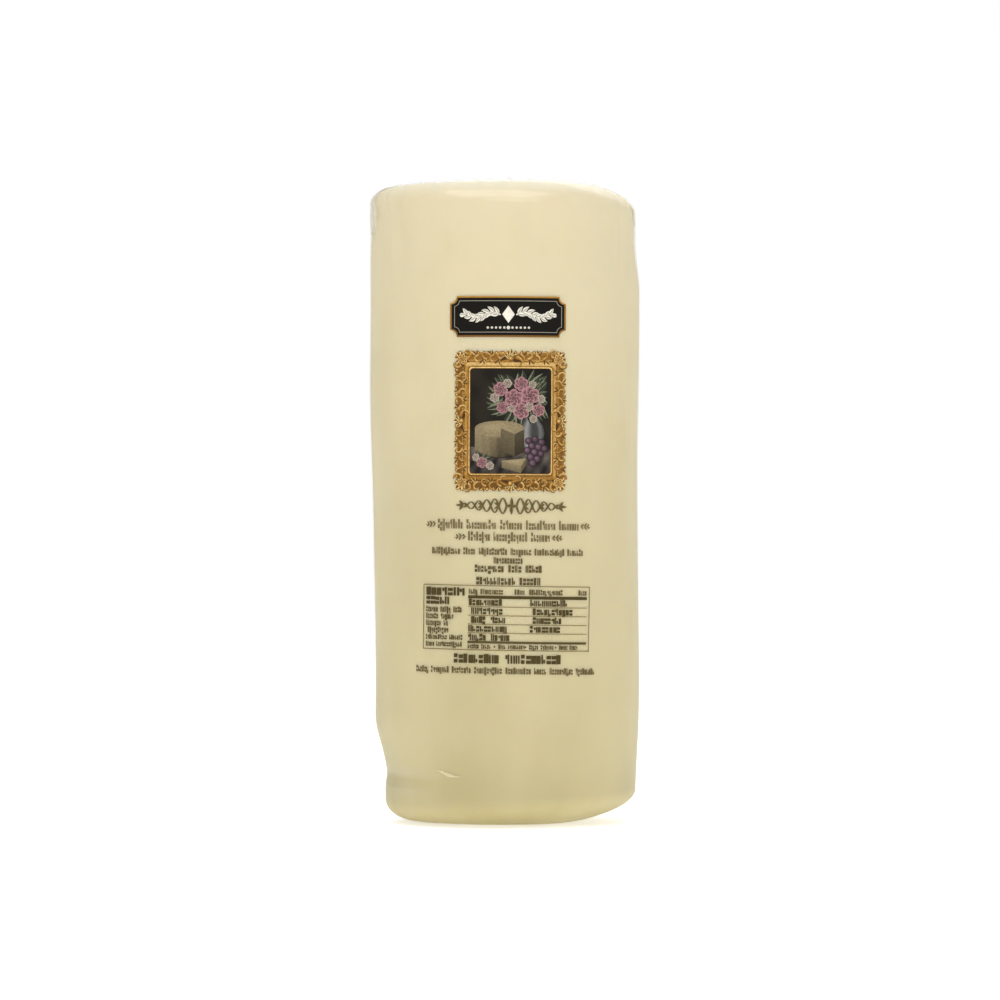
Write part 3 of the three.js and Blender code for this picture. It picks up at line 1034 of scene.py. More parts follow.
def build_seal(sizes, looks):
    """The heat seal laid flat over the top, and the ears of slack film at its two ends."""
    end_map = EndMap(LogForm(sizes))
    along, half = np.array(SEAL_OUTLINE).T
    u = np.linspace(along[0], along[-1], SEAL_STEPS[0])
    width = np.convolve(np.pad(np.interp(u, along, half), 4, mode="edge"), np.ones(9) / 9, mode="valid")
    width = width + 0.22 * np.sin(u / 2.7) + 0.15 * np.sin(u / 1.3 + 1)
    uu, tt = np.meshgrid(u, np.linspace(-1, 1, SEAL_STEPS[1]), indexing="ij")
    vv = tt * width[:, None]
    uu = uu + 0.5 * np.sin(vv / 3.1) * smoothstep(-uu, 60, 72)
    on_band = smoothstep(uu, -47, -42) * smoothstep(uu, 51, 46)
    crimps = (0.5 + 0.5 * np.cos(2 * np.pi * uu / CRIMP["pitch"])) * (np.abs(vv) < CRIMP["half_width"])
    fold = 0.0
    for end, root in EAR_ROOTS:
        reach = np.clip((end * uu - root) / 16.0, 0, 1.6)
        for slope in EAR_FOLDS:
            crest = 0.26 / (1 + ((vv - slope * 15 * reach) / 0.9) ** 2) ** 1.5
            fold = fold + crest * smoothstep(reach, 0.05, 0.4) * (end * uu > root)
    tip = np.maximum(smoothstep(-uu, 67, 73), smoothstep(uu, 61, 66.5))
    held = 1 - np.maximum(smoothstep(np.abs(tt), 0.78, 1.0), tip)
    lift = SEAL_LIFT + on_band * (CRIMP["height"] * crimps + 0.18 * bell(np.abs(vv), 3.4, 0.7))
    lift = 0.05 + (lift + fold) * (0.1 + 0.9 * held) * (0.45 + 0.55 * on_band)
    points, faces = slab(end_map.place(uu, vv, lift), end_map.place(uu, vv, np.full_like(lift, -SEAL_ROOT)))
    ears = 0.62 + 0.9 * fold + 0.12 * np.sin(uu / 3.3) * np.sin(vv / 2.9 + uu / 7)
    slack = ears * (1 - on_band) + (0.24 + 0.5 * crimps) * on_band
    slack = np.clip(slack * (held + 0.35 * on_band * (1 - held)), 0, 1).ravel()
    values = {"slack": np.tile(slack, 2), "outside": np.repeat((1.0, 0.0), slack.size)}
    material = film_material("milky_film", looks.film_milk, 0.0, 0.8)
    settle(make_object("film_seal", points, faces, material, values))


# Small sharp creases of the film: points as (round the log from the front line, height), width and lift.
CREASES = (
    (
        (
            (-31.0, 23.9), (-29.0, 24.0), (-26.8, 23.4), (-25.0, 22.6), (-23.0, 22.0), (-21.0, 21.8),
            (-19.2, 22.0),
        ),
        2.0,
        0.36,
    ),
    (((-99.0, 238.0), (-100.0, 229.0), (-98.5, 219.0), (-99.0, 207.0)), 1.7, 0.26),
    (((-108.0, 236.0), (-109.5, 229.0), (-109.0, 223.0)), 1.5, 0.22),
    (((98.0, 236.0), (97.0, 227.0), (98.5, 216.0)), 1.6, 0.24),
    (((-141.0, 61.0), (-138.0, 57.5), (-136.0, 52.0), (-135.5, 46.0)), 1.7, 0.28),
    (((148.0, 25.8), (151.0, 26.4), (154.5, 25.0), (158.0, 24.0), (162.0, 24.6)), 2.0, 0.34),
    (((121.0, 17.5), (124.0, 18.6), (127.5, 18.2), (131.0, 17.2)), 1.6, 0.26),
)
# Milk of the creased film: whitened where the film is creased, and tinted warm as a painted highlight on each
# crease's crest.
CREASE_MILK_AND_PAINTED_HIGHLIGHT = (248, 236, 196)
# Creases start inside the film, in metres, and are this thick.
CREASE_SINK = 0.00003
CREASE_THICKNESS = 0.00006


def build_creases(sizes, looks):
    art = FlatArt()
    fine = np.linspace(0, 1, 34)
    swell = np.sin(np.pi * np.clip(fine, 0.02, 0.98)) ** 0.6
    for line, width, lift in CREASES:
        share = np.linspace(0, 1, len(line))
        path = np.stack([np.interp(fine, share, places) for places in zip(*line)], 1)
        for axis in range(2):
            path[2:-2, axis] = np.convolve(path[:, axis], np.ones(5) / 5, mode="valid")
        art.stroke(path, width * swell, swell, dome=lift, across=8, fade=True)
    # each crease is milkiest along its crest: partly the film's own whitening, partly a painted highlight
    creases = art.object("film_creases", values={"slack": art.tones, "outside": np.ones(len(art.tones))})
    material = film_material("creased_film", srgb(*CREASE_MILK_AND_PAINTED_HIGHLIGHT), 0.0, 0.8, 0.0)
    lay_on_film(creases, material, sizes, -CREASE_SINK, CREASE_THICKNESS, smooth=True)
    settle(creases)


# ---------------------------------------------------------------- print

# Where each block of print is, as (round the log from the front line, height), and its tilt in degrees.
PLAQUE = ((1.4, 212.6), -0.25)
PANEL = ((2.3, 169.3), -0.3)
TABLE_AT = (0.5, 87.6)
# From one line of the table to the next.
TABLE_PITCH = 3.62
FLOURISH_AT = (2.7, 134.1)
# How far each layer of ink is lifted over the ones under it.
OVER_GROUND = 0.05


def plate_loop(width, height, corner, inset, scooped):
    """A closed plate outline with the same number of points whatever its size."""
    half_u, half_v = width / 2 - inset, height / 2 - inset
    corner = max(corner - (0.414 * inset if scooped else inset), 0.15)
    inward = 0.0 if scooped else corner
    points = []
    for su, sv, first in ((1, -1, 270), (1, 1, 0), (-1, 1, 90), (-1, -1, 180)):
        centre = (su * (half_u - inward), sv * (half_v - inward))
        for k in range(9):
            turn = math.radians(first - 90 - 90 * k / 8 if scooped else first + 90 * k / 8)
            points.append((centre[0] + corner * math.cos(turn), centre[1] + corner * math.sin(turn)))
    full = []
    for a, b in zip(points, [*points[1:], points[0]]):
        steps = 30 if math.dist(a, b) > height * 0.25 else 1
        full += [(a[0] + (b[0] - a[0]) * k / steps, a[1] + (b[1] - a[1]) * k / steps) for k in range(steps)]
    return np.array(full)


def lit_tones(loop, base, swing):
    """Tones of a moulding's band that is lit from above and a little from the right."""
    ahead = np.roll(loop, -1, 0) - np.roll(loop, 1, 0)
    return np.clip(base - swing * (left_of(ahead) @ LIGHT_FROM), 0, 1)


def build_plaque(sizes, looks):
    """The dark plaque with its gilt rim and a pale laurel in place of words."""

    def loop(inset):
        return plate_loop(sizes.plaque_width / MM, sizes.plaque_height / MM, 3.0, inset, True)

    rim, field, laurel = FlatArt(), FlatArt(), FlatArt()
    outer, inner = loop(0.0), loop(0.75)
    rim.ring([outer, inner], [lit_tones(outer, 0.45, 0.2), lit_tones(inner, 0.3, 0.1)])
    field.field(loop(0.7), (0, 0), 14, (0.3, 0.5))
    laurel.ring([loop(1.9), loop(2.12)], [0.25, 0.25])
    laurel.field([(2.6, 0.9), (0, 4.5), (-2.6, 0.9), (0, -2.7)], (0, 0.9), 2, (0.9, 1.0))
    share = np.linspace(0, 1, 40)
    for side in SIDES:
        stem = np.stack((side * (3.2 + 15.2 * share), 0.7 + 1.15 * np.sin(share * 2.2 * math.pi)), 1)
        laurel.stroke(stem, np.linspace(0.6, 0.36, 40), 0.8)
        for k in range(8):
            ahead = stem[min(39, 3 + k * 5)] - stem[1 + k * 5]
            heading = math.atan2(ahead[1], ahead[0])
            for turn in SIDES:
                at = (stem[2 + k * 5], heading - 0.75 * turn)
                laurel.leaf(*at, 3.7 - 0.12 * k, 1.5, (0.72, 1.0), 0.5 * turn)
        laurel.dot((side * 19.6, 0.6), 0.9, 12, (0.8, 0.9))
    for k in range(-5, 6):
        laurel.dot((k * 1.7, -4.6), 0.5 if k else 0.75, 10, (0.7, 0.8))
    black = ink_material("black_ink", looks.ink_black, looks.ink_black, 0.42)
    gilt = ink_material("gilt_line_ink", looks.gilt_dark, looks.gilt_light, middle=looks.gilt_middle)
    for name, art, ink, lift in (
        ("plaque_field", field, black, 0.0),
        ("plaque_rim", rim, gilt, OVER_GROUND),
        ("plaque_laurel", laurel, listed_ink("pale_ink"), OVER_GROUND),
    ):
        print_piece(name, [art.object(name, *PLAQUE)], ink, sizes, lift)


# The gilt moulding from its outer edge inwards: how far in, tone, and how much the light changes it.
MOULDING = (
    (0.35, 0.26, 0.1), (0.8, 0.42, 0.14), (1.3, 0.2, 0.06), (3.3, 0.26, 0.08), (3.6, 0.5, 0.16),
    (3.85, 0.1, 0.05), (4.1, 0.32, 0.12), (4.6, 0.6, 0.18), (5.4, 0.55, 0.2), (5.9, 0.24, 0.1),
    (6.05, 0.12, 0.04), (6.2, 0.95, 0.1),
    (6.5, 0.7, 0.12), (6.75, 0.02, 0.0),
)
# The carved ornaments at the middle of each side: place as shares of the border's reach, inward step, heading
# and size.
MIDDLES = ((0, 1, 0.4, 90, 1.0), (0, -1, 0.4, -90, 0.95), (1, 0, 0.5, 0, 0.95), (-1, 0, 0.5, 180, 0.95))
# From the panel's edge to its picture, before the border's two scales.
PICTURE_INSET = 6.6


def moulding_loop(sizes, inset):
    width, height = sizes.panel_width / MM, sizes.panel_height / MM
    return plate_loop(width - 1.9 * inset, height - 2.1 * inset, 1.3, 0.0, False)


def fan(art, place, heading, turns, reach, width, tones):
    """Leaves spread about a heading, the longest in the middle."""
    for turn in turns:
        angle = math.radians(heading + turn)
        art.leaf(place, angle, reach * (1 - 0.0035 * abs(turn)), width, tones, 0.005 * turn, 0.06)


def vine(art, start, end, count, draw):
    """A running scroll with leaves between two places of the border."""
    start, end = np.array(start), np.array(end)
    ahead = (end - start) / np.linalg.norm(end - start)
    beside = np.array((-ahead[1], ahead[0]))
    heading = math.atan2(ahead[1], ahead[0])
    pitch = np.linalg.norm(end - start) / count
    for k in range(count):
        side = 1 if k % 2 else -1
        at = start + ahead * pitch * (k - 0.25) - beside * side * 0.9
        for turn, reach in ((2.0, 2.3), (1.0, 2.6)):
            tones = (0.1, draw.uniform(0.5, 0.8))
            art.leaf(at + ahead * 1.2, heading - side * turn, reach, 1.1, tones, side * 0.5, 0.03)
        reach = pitch * draw.uniform(1.6, 1.9)
        art.scroll(at, heading + side * 0.35, reach, 1.15, side * 4.6, draw.uniform(0.42, 0.6))


def petal_object(name, half_width):
    """A petal that points along U, dark at its root and tilted so that it overlaps the next one."""
    art = FlatArt()
    art.field(ellipse((0.56, 0), 0.45, half_width, 12), (0.24, 0), 3, (0.95, 0.0))
    art.points = [(u, v, lift + 0.06 * v) for u, v, lift in art.points]
    art.tones = [tone**2.2 for tone in art.tones]
    return art.object(name)


def pearl(name, radius):
    art = FlatArt()
    art.dot((0, 0), radius, 10, (0.15, 1.0), steps=2, dome=0.03)
    return art.object(name)


def bead_line(sizes, name, inset, bead, spacing):
    """A bead set along the moulding, this far in and this far apart."""
    loop = placed(moulding_loop(sizes, inset), *PANEL)
    edges = [(k, (k + 1) % len(loop)) for k in range(len(loop))]
    line = flat_object(name, [(u, v, 0.01) for u, v in loop], edges=edges)
    add_modifier(line, beads_tree(), Bead=bead, Spacing=spacing * MM, Size=0.9)
    return line


def blossoms(name, spots, petal, petals, reach, sizes, turns, lift=0.0):
    """Blossoms of a petal at spots (u, v) of the panel."""
    places = [(u, v, lift) for u, v in placed(spots, *PANEL)]
    made = flat_object(name, places, values={"wide": sizes, "lean": turns})
    add_modifier(made, blossoms_tree(), Petal=petal, Petals=petals, Reach=reach)
    return made


def border_art(sizes):
    art = FlatArt()
    loops = [moulding_loop(sizes, inset) for inset, _, _ in MOULDING]
    step = np.arange(len(loops[0]))
    wave = 0.3 * np.sin(1.9 * step) + 0.22 * np.sin(0.7 * step + 1)
    loops[0] = loops[0] + wave[:, None] * unit(loops[0])
    tones = [lit_tones(loop, tone, swing) for loop, (_, tone, swing) in zip(loops, MOULDING)]
    art.ring(loops, tones, [0.02 * (0.4 < inset < 6.5) for inset, _, _ in MOULDING])
    return art


def carving_art(edge_u, edge_v, corners, draw):
    """Scrolls and leaves over the border, whose middle line is edge_u and edge_v from the panel's middle."""
    art = FlatArt()
    for place in corners:
        su, sv = np.sign(place)
        vine(art, (su * 4.6, sv * edge_v), (su * (edge_u - 3.6), sv * edge_v), 4, draw)
        vine(art, (su * edge_u, sv * 5.4), (su * edge_u, sv * (edge_v - 3.8)), 5, draw)
        heading = math.degrees(math.atan2(sv, su))
        fan(art, place, heading, (-138, 138), 6.8, 2.4, (0.05, 0.5))
        for turn in SIDES:
            art.scroll(place, math.radians(heading + 138 * turn), 7.6, 1.8, -3.8 * turn)
        fan(art, place, heading, (-64, -32, 0, 32, 64), 3.9, 1.9, (0.15, 0.95))
    for su, sv, inward, heading, size in MIDDLES:
        place = (su * (edge_u - inward), sv * (edge_v - inward))
        fan(art, place, heading, (-94, 94), 7.0 * size, 2.6 * size, (0.05, 0.45))
        for turn in SIDES:
            art.scroll(place, math.radians(heading + 70 * turn), 8.6 * size, 1.6, 4.2 * turn)
        fan(art, place, heading, (-52, 52, -26, 26, 0), 4.0 * size, 1.7 * size, (0.15, 0.95))
        fan(art, place, heading, (-135, 135, 180), 2.0 * size, 1.3 * size, (0.1, 0.6))
        art.dot(place, 1.1, 14, (0.15, 1.0), steps=3, lift=0.1, light=(-0.3, 0.3))
    return art


def build_panel(sizes, looks):
    """The gilt panel: a moulded border of scrolls and leaves round a still life."""
    half_u, half_v = sizes.panel_width / MM / 2, sizes.panel_height / MM / 2
    edge_u, edge_v = half_u - 2.3, half_v - 2.5
    corners = [(su * (edge_u - 0.6), sv * (edge_v - 0.7)) for su in SIDES for sv in SIDES]
    carving = carving_art(edge_u, edge_v, corners, np.random.default_rng(sizes.seed))
    scallop, small = pearl("scallop", 0.85), pearl("small_pearl", 0.34)
    petal = petal_object("gilt_petal", 0.34)
    parts = [
        border_art(sizes).object("border", *PANEL),
        bead_line(sizes, "scallops", 0.5, scallop, 2.6),
        bead_line(sizes, "moulding_pearls", 3.35, small, 1.1),
        carving.object("carving", *PANEL),
        blossoms("rosettes", corners, petal, 7, 2.2, [1.0] * 4, [0.2, 0.5, 0.1, 0.4], 0.1),
    ]
    gilt = ink_material("gilt_ink", looks.gilt_dark, looks.gilt_light, 0.42, 0.3, looks.gilt_middle)
    print_piece("panel_gilding", parts, gilt, sizes, OVER_GROUND)
    remove_objects(scallop, small, petal)
    build_still_life(sizes, (half_u - 0.95 * PICTURE_INSET, half_v - 1.05 * PICTURE_INSET))


# ---------------------------------------------------------------- still life

ACROSS = np.linspace(0, 1, 41)
PICTURE_SEED = 3
# The jug from its foot up: height and half its width.
JUG = ((-11.0, 3.4), (-8.6, 4.8), (-5.0, 5.6), (-2.0, 4.9), (0.2, 3.4), (1.6, 2.9), (4.0, 3.7))
# Blossoms: place and radius.
ROSES = (
    (1.2, 9.4, 3.9), (8.0, 10.6, 4.0), (4.4, 4.2, 3.5), (-4.2, 13.2, 3.0), (11.6, 4.6, 2.7), (4.2, 15.4, 3.0),
    (-3.4, 5.6, 2.5), (-11.8, -17.2, 2.3),
)
CREAM_BLOSSOMS = (
    (-1.4, 15.6, 1.9), (7.6, 5.9, 1.9), (12.6, 9.2, 1.8), (-6.6, 9.6, 2.0), (8.9, 15.2, 1.7), (0.4, 5.2, 1.6),
    (9.4, 0.9, 1.7), (-8.4, -18.6, 1.7), (-14.4, -15.0, 1.5),
)
GRAPES = (
    (7.4, -8.2), (10.2, -7.6), (12.9, -8.8), (8.8, -10.3), (11.6, -10.8), (14.2, -11.4), (7.0, -12.2),
    (9.9, -12.9), (12.7, -13.6), (8.3, -14.9), (11.1, -15.7), (9.2, -17.4),
)
WHEEL = {"left": -14.8, "right": 5.6, "top": -3.0, "dip": 3.1, "height": 9.4}
# Bands of the wheel's side: heights under its top and tones, at the band's foot and head.
WHEEL_BANDS = ((-9.4, -8.6, 0.06, 0.4), (-8.6, -1.3, 0.42, 0.56), (-1.3, 0.0, 0.56, 0.95))
WEDGE = np.array(((-3.6, -16.4), (4.4, -18.6), (6.6, -15.4)))


def ground_art(half):
    """A soft painted ground, a little lighter towards the upper left."""
    v, u = np.meshgrid(np.linspace(-half[1], half[1], 40), np.linspace(-half[0], half[0], 32), indexing="ij")
    clouds = np.sin(u / 3.7 + 0.8 * np.sin(v / 5.1)) * np.cos(v / 4.3 - u / 9.0)
    clouds = clouds + 0.5 * np.sin(u / 1.9 + v / 2.3 + 1)
    tones = 0.3 + 0.2 * clouds + 0.25 * bell(u, -7, 9) * bell(v, 7, 11)
    art = FlatArt()
    art.grid(np.stack((u, v, 0 * u), 2), np.clip(tones, 0, 1))
    return art


def cloth_art(half):
    rows = []
    for height in np.linspace(-1.0, -0.5, 12) * half[1]:
        rise = (height + half[1]) / (0.5 * half[1])
        droop = 0.7 * rise * np.cos(ACROSS * 15 + 0.6) * (np.abs(2 * ACROSS - 1) < 0.97)
        folds = 0.5 + 0.3 * np.sin(ACROSS * 23 + 0.5 * height) + 0.24 * np.sin(ACROSS * 47 - 0.9 * height)
        rows.append((half[0] * (2 * ACROSS - 1), height + droop, folds * (0.35 + 0.65 * rise)))
    art = FlatArt()
    art.sheet(rows)
    return art


def jug_art():
    sheen = 0.7 * bell(ACROSS, 0.3, 0.13) + 0.3 * bell(ACROSS, 0.86, 0.08) + 0.12
    sag = 0.8 * np.sin(np.pi * ACROSS)
    art = FlatArt()
    art.sheet([(8.6 + reach * (2 * ACROSS - 1), height - sag, sheen) for height, reach in JUG])
    return art


def leaves_art(half, draw):
    """Leaves that stand out round the blossoms and stay inside the picture."""
    art = FlatArt()
    for k in range(34):
        angle = math.radians(-60 + 330 * k / 33)
        root = (4.0 + 7.2 * math.cos(angle), 9.6 + 5.6 * math.sin(angle))
        heading = angle + draw.uniform(-0.5, 0.5)
        room_beside = (half[0] - abs(root[0])) / max(abs(math.cos(heading)), 0.2)
        room_above = (half[1] - root[1]) / max(math.sin(heading), 0.2)
        reach = min(8.4, 0.9 * room_beside, 0.9 * room_above) * draw.uniform(0.7, 1.0)
        width, curl = draw.uniform(1.7, 2.7), draw.uniform(-0.5, 0.5)
        art.leaf(root, heading, reach, width, (0.12, draw.uniform(0.45, 1.0)), curl)
    for heading in (110, 140, 165, 20, -15, 60):
        art.leaf((-11.6, -16.6), math.radians(heading), 4.6, 2.0, (0.15, 0.8), 0.3)
    return art


def wheel_art():
    """A cheese wheel with a notch, and the wedge cut from it."""
    art = FlatArt()
    left, right, top, dip, height = (WHEEL[key] for key in ("left", "right", "top", "dip", "height"))
    middle, round_front = (left + right) / 2, dip * np.sin(np.pi * ACROSS)
    for low, high, tone_low, tone_high in WHEEL_BANDS:
        rows = []
        for drop, tone in ((low, tone_low), (high, tone_high)):
            shade = tone + 0.28 * np.cos(np.pi * ACROSS + 0.5) - 0.15 * ACROSS
            shade = shade + 0.07 * np.sin(29 * ACROSS) * np.sin(13 * ACROSS + drop)
            rows.append((left + (right - left) * ACROSS, top + drop - round_front, shade))
        art.sheet(rows)
    face = ellipse((middle, top), (right - left) / 2, dip, 40)
    art.field(face, (middle - 3, top + 0.5), 6, (0.72, 0.98), 0.02)
    art.field(along_loop(WEDGE, 0.6), WEDGE.mean(0), 4, (0.82, 1.0), 0.06)
    notch = np.array(((middle + 0.5, top), (middle + 6.3, top - 0.78 * dip), (right - 0.2, top - 0.55)))
    for (near, far), tone, depth, lift in (
        (notch[:2], 0.3, height - 0.1, 0.04),
        (notch[1:], 0.1, height - 0.1, 0.04),
        (WEDGE[:2], 0.6, 3.0, 0.06),
        (WEDGE[1:], 0.3, 3.0, 0.06),
    ):
        u, v = near[0] + (far[0] - near[0]) * ACROSS, near[1] + (far[1] - near[1]) * ACROSS
        art.sheet([(u, v - depth, tone * 0.7), (u, v, tone + 0.1)], lift)
    return art


def grapes_art(draw):
    art = FlatArt()
    for k, place in enumerate(GRAPES):
        size = draw.uniform(1.4, 1.75)
        tones = (0.02, draw.uniform(0.6, 1.0))
        art.dot(place, size, 16, tones, steps=4, lift=0.004 * k, light=(-0.45, 0.5))
    return art


def build_still_life(sizes, half):
    """A cheese wheel on a cloth, with a jug of blossoms behind it and grapes beside it."""
    draw = np.random.default_rng(PICTURE_SEED)
    for name, art, ink, lift in (
        ("panel_ground", ground_art(half), "umber_ink", 0.0),
        ("panel_cloth", cloth_art(half), "linen_ink", 0.03),
        ("panel_jug", jug_art(), "pewter_ink", 0.05),
        ("panel_leaves", leaves_art(half, draw), "leaf_ink", 0.07),
        ("panel_cheese", wheel_art(), "cream_ink", 0.09),
        ("panel_grapes", grapes_art(draw), "grape_ink", 0.11),
    ):
        print_piece(name, [art.object(name, *PANEL)], listed_ink(ink), sizes, lift)
    petal = petal_object("petal", 0.44)
    for name, spots in (("panel_roses", ROSES), ("panel_cream_blossoms", CREAM_BLOSSOMS)):
        places, radii = [spot[:2] for spot in spots], [spot[2] for spot in spots]
        flowers = blossoms(name, places, petal, 6, 1.0, radii, draw.uniform(0, 1, len(spots)))
        print_piece(name, [flowers], listed_ink(f"{name}_ink"), sizes, 0.13)
    remove_objects(petal)


# ---------------------------------------------------------------- wording

# Rows of stand-in words: centre (round, height), width, height of a tall mark, weight, short marks' share
# of the height, tone of the ink.
ROWS = (
    ((1.3, 124.4), 61.5, 3.9, 0.21, 0.68, 0.46),
    ((1.6, 119.5), 34.5, 3.8, 0.22, 0.72, 0.42),
    ((1.0, 113.8), 66.4, 2.8, 0.3, 0.8, 0.34),
    ((1.25, 110.2), 12.0, 2.7, 0.31, 0.82, 0.2),
    ((1.3, 106.6), 28.2, 3.0, 0.36, 0.84, 0.12),
    ((1.3, 101.4), 27.0, 3.1, 0.37, 0.88, 0.12),
    ((0.9, 68.8), 45.6, 3.8, 0.48, 0.9, 0.0),
    ((0.0, 64.5), 81.0, 2.7, 0.31, 0.8, 0.26),
)
# Lines that end in fleurons: centre and half length.
FLEURON_LINES = (((1.3, 126.1), 31.6), ((1.6, 121.1), 18.2))
WORD_GAP = 0.085
# What a mark is made of, in shares of its width and height: (left, foot, width, height) of each part. The
# first is the commonest.
MARK_SHAPES = (
    ((0, 0, 1, 1),),
    ((0, 0, 1, 0.4), (0, 0.58, 1, 0.42)),
    ((0, 0, 0.4, 1), (0.6, 0, 0.4, 1)),
    ((0, 0, 0.45, 1), (0.52, 0.08, 0.48, 0.4)),
    ((0.55, 0, 0.45, 1), (0, 0.5, 0.48, 0.4)),
)
SHAPE_CHANCES = (0.32, 0.24, 0.16, 0.14, 0.14)
TALL_CHANCE = 0.22
TAIL = {"chance": 0.08, "depth": -0.26}


def word_marks(draw, centre, width, tall, weight, low, tone, tilt, start=None):
    """Upright marks in groups like the words of a line: (u, v), width, height and tone of each."""
    pitch = tall * (weight + WORD_GAP)
    marks, run = [], 0.0
    while run < width - 2.2 * pitch:
        room = (width - run) / pitch
        count = int(min(draw.integers(4, 13), max(2, room)))
        if room - count < 4.0:
            count = max(2, int(room))
        for k in range(count):
            level = 1.0 if k == 0 or draw.random() < TALL_CHANCE else low
            drop = TAIL["depth"] if low < 0.9 and k and draw.random() < TAIL["chance"] else 0.0
            wide = weight * tall * draw.uniform(0.85, 1.15)
            shape = draw.choice(len(MARK_SHAPES), p=SHAPE_CHANCES)
            marks.append((run + k * pitch, drop * tall, wide, (level - drop) * tall, shape))
        run += (count + 1.15) * pitch
    stretch = width / (marks[-1][0] + marks[-1][2])
    left = -width / 2 if start is None else start
    turned = []
    for at, foot, wide, high, shape in marks:
        for part_left, part_foot, part_wide, part_high in MARK_SHAPES[shape]:
            u = left + stretch * (at + wide * (part_left + part_wide / 2))
            v = foot + high * part_foot
            place = (centre[0] + u * math.cos(tilt) + v * math.sin(tilt), centre[1] - u * math.sin(tilt) + v)
            turned.append((*place, stretch * wide * part_wide, high * part_high, tone))
    return turned


def table_art(sizes):
    """Rules of the table about its middle, and where its rows of words go.

    Each row is (start, height, width, height of a tall mark, weight, short marks' share, tone).
    """
    width, height = sizes.table_width / MM, sizes.table_height / MM
    rules, rows = FlatArt(), []
    rules.ring([plate_loop(width, height, 0.2, inset, False) for inset in (0.0, 0.34)], [0.55, 0.55])
    left, right, top, edge = -width / 2 + 20.9, width / 2 - 1.5, height / 2, -width / 2 + 1.5
    fine_rules = [(8.9 + TABLE_PITCH * k, 0.3, 0.6) for k in range(4)]
    for drop, thick, tone in ((4.9, 1.25, 0.0), (23.6, 0.95, 0.1), *fine_rules):
        rules.stroke(np.stack((np.linspace(left, right, 40), np.full(40, top - drop)), 1), thick, tone)
    for k in range(3):
        rules.dot((left + 11.5 + 12.95 * k, top - 25.4), 0.42, 10, (0.2, 0.2))
    for start, span in ((left + 0.2, 14.5), (left + 19.5, 4.2), (left + 25.6, 14.5), (right - 4.2, 4.0)):
        rows.append((start, top - 3.7, span, 2.2, 0.33, 0.82, 0.22))
    columns = ((left + 0.3, (13.2, 12.4, 13.6, 15.4, 16.6)), (left + 26.2, (15.2, 16.8, 11.6, 12.2)))
    for start, spans in columns:
        for k, span in enumerate(spans):
            indent = 1.1 if k in (1, 2) else 0
            rows.append((start + indent, top - 8.4 - TABLE_PITCH * k, span + 0.8, 2.75, 0.46, 0.84, 0.02))
    for k, span in enumerate((9.6, 11.0, 10.4, 8.6)):
        rows.append((left + 0.2 + 12.9 * k, top - 26.3, span, 1.9, 0.32, 0.84, 0.1))
    rows.append((edge, top - 4.5, 17.8, 3.4, 0.58, 0.92, 0.0))
    rows.append((edge, top - 8.2, 11.0, 3.2, 0.58, 0.92, 0.0))
    small_words = ((16.6, 2.35), (13.0, 2.35), (10.6, 2.35), (10.0, 2.35), (17.2, 2.05), (17.0, 2.05))
    for k, (span, tall) in enumerate(small_words):
        indent = 0.8 if k == 3 else 0
        rows.append((edge + indent, top - 11.45 - 2.85 * k, span, tall, 0.32, 0.82, 0.12))
    return rules, rows


def flourish_art():
    """A braid of two strands on either side of a small cross of leaves."""
    art = FlatArt()
    share = np.linspace(0, 1, 150)
    swell = 2.75 * (1 - share) ** 0.7 + 0.55
    phase = share * 2 * np.pi * 2.75
    widths = (0.46 + 0.5 * np.abs(np.cos(phase))) * (1 - 0.25 * share)
    for side in SIDES:
        for strand in SIDES:
            line = np.stack((side * (2.0 + 18.4 * share), strand * swell * np.sin(phase)), 1)
            art.stroke(line, widths, 0.3)
        away = 0 if side > 0 else math.pi
        for k, place in enumerate((4.9, 12.0, 18.6)):
            for bend in (0.5, -0.5):
                art.leaf((side * place, 0), away + bend, 2.7 - 0.4 * k, 1.05, (0.2, 0.5), lift=0.01)
        for bend, reach in ((0.0, 3.6), (0.7, 2.9), (-0.7, 2.9)):
            art.leaf((side * 20.2, 0), away + bend, reach, 1.15, (0.2, 0.5), 0.4 * bend, 0.01)
    for turn in range(4):
        art.leaf((0, 0), turn * math.pi / 2, (1.9, 3.6)[turn % 2], 1.45, (0.15, 0.45), lift=0.02)
    return art


def fleurons_art(tilt):
    """A small leaf scroll at each end of the lines that have them."""
    art = FlatArt()
    for (middle_u, middle_v), half in FLEURON_LINES:
        for side in SIDES:
            u = middle_u + side * half * math.cos(tilt)
            v = middle_v - side * half * math.sin(tilt)
            steps = np.arange(11)
            art.stroke(np.stack((u + side * steps * 0.5, v + 0.35 * np.sin(steps * 0.55)), 1), 0.3, 0.6)
            for k, size in ((1, 1.5), (4, 1.9), (7, 1.4)):
                for turn in (0.9, -0.9):
                    heading = (0 if side > 0 else math.pi) + turn
                    art.leaf((u + side * k * 0.5, v), heading, size, 0.75, (0.3, 0.7))
    return art


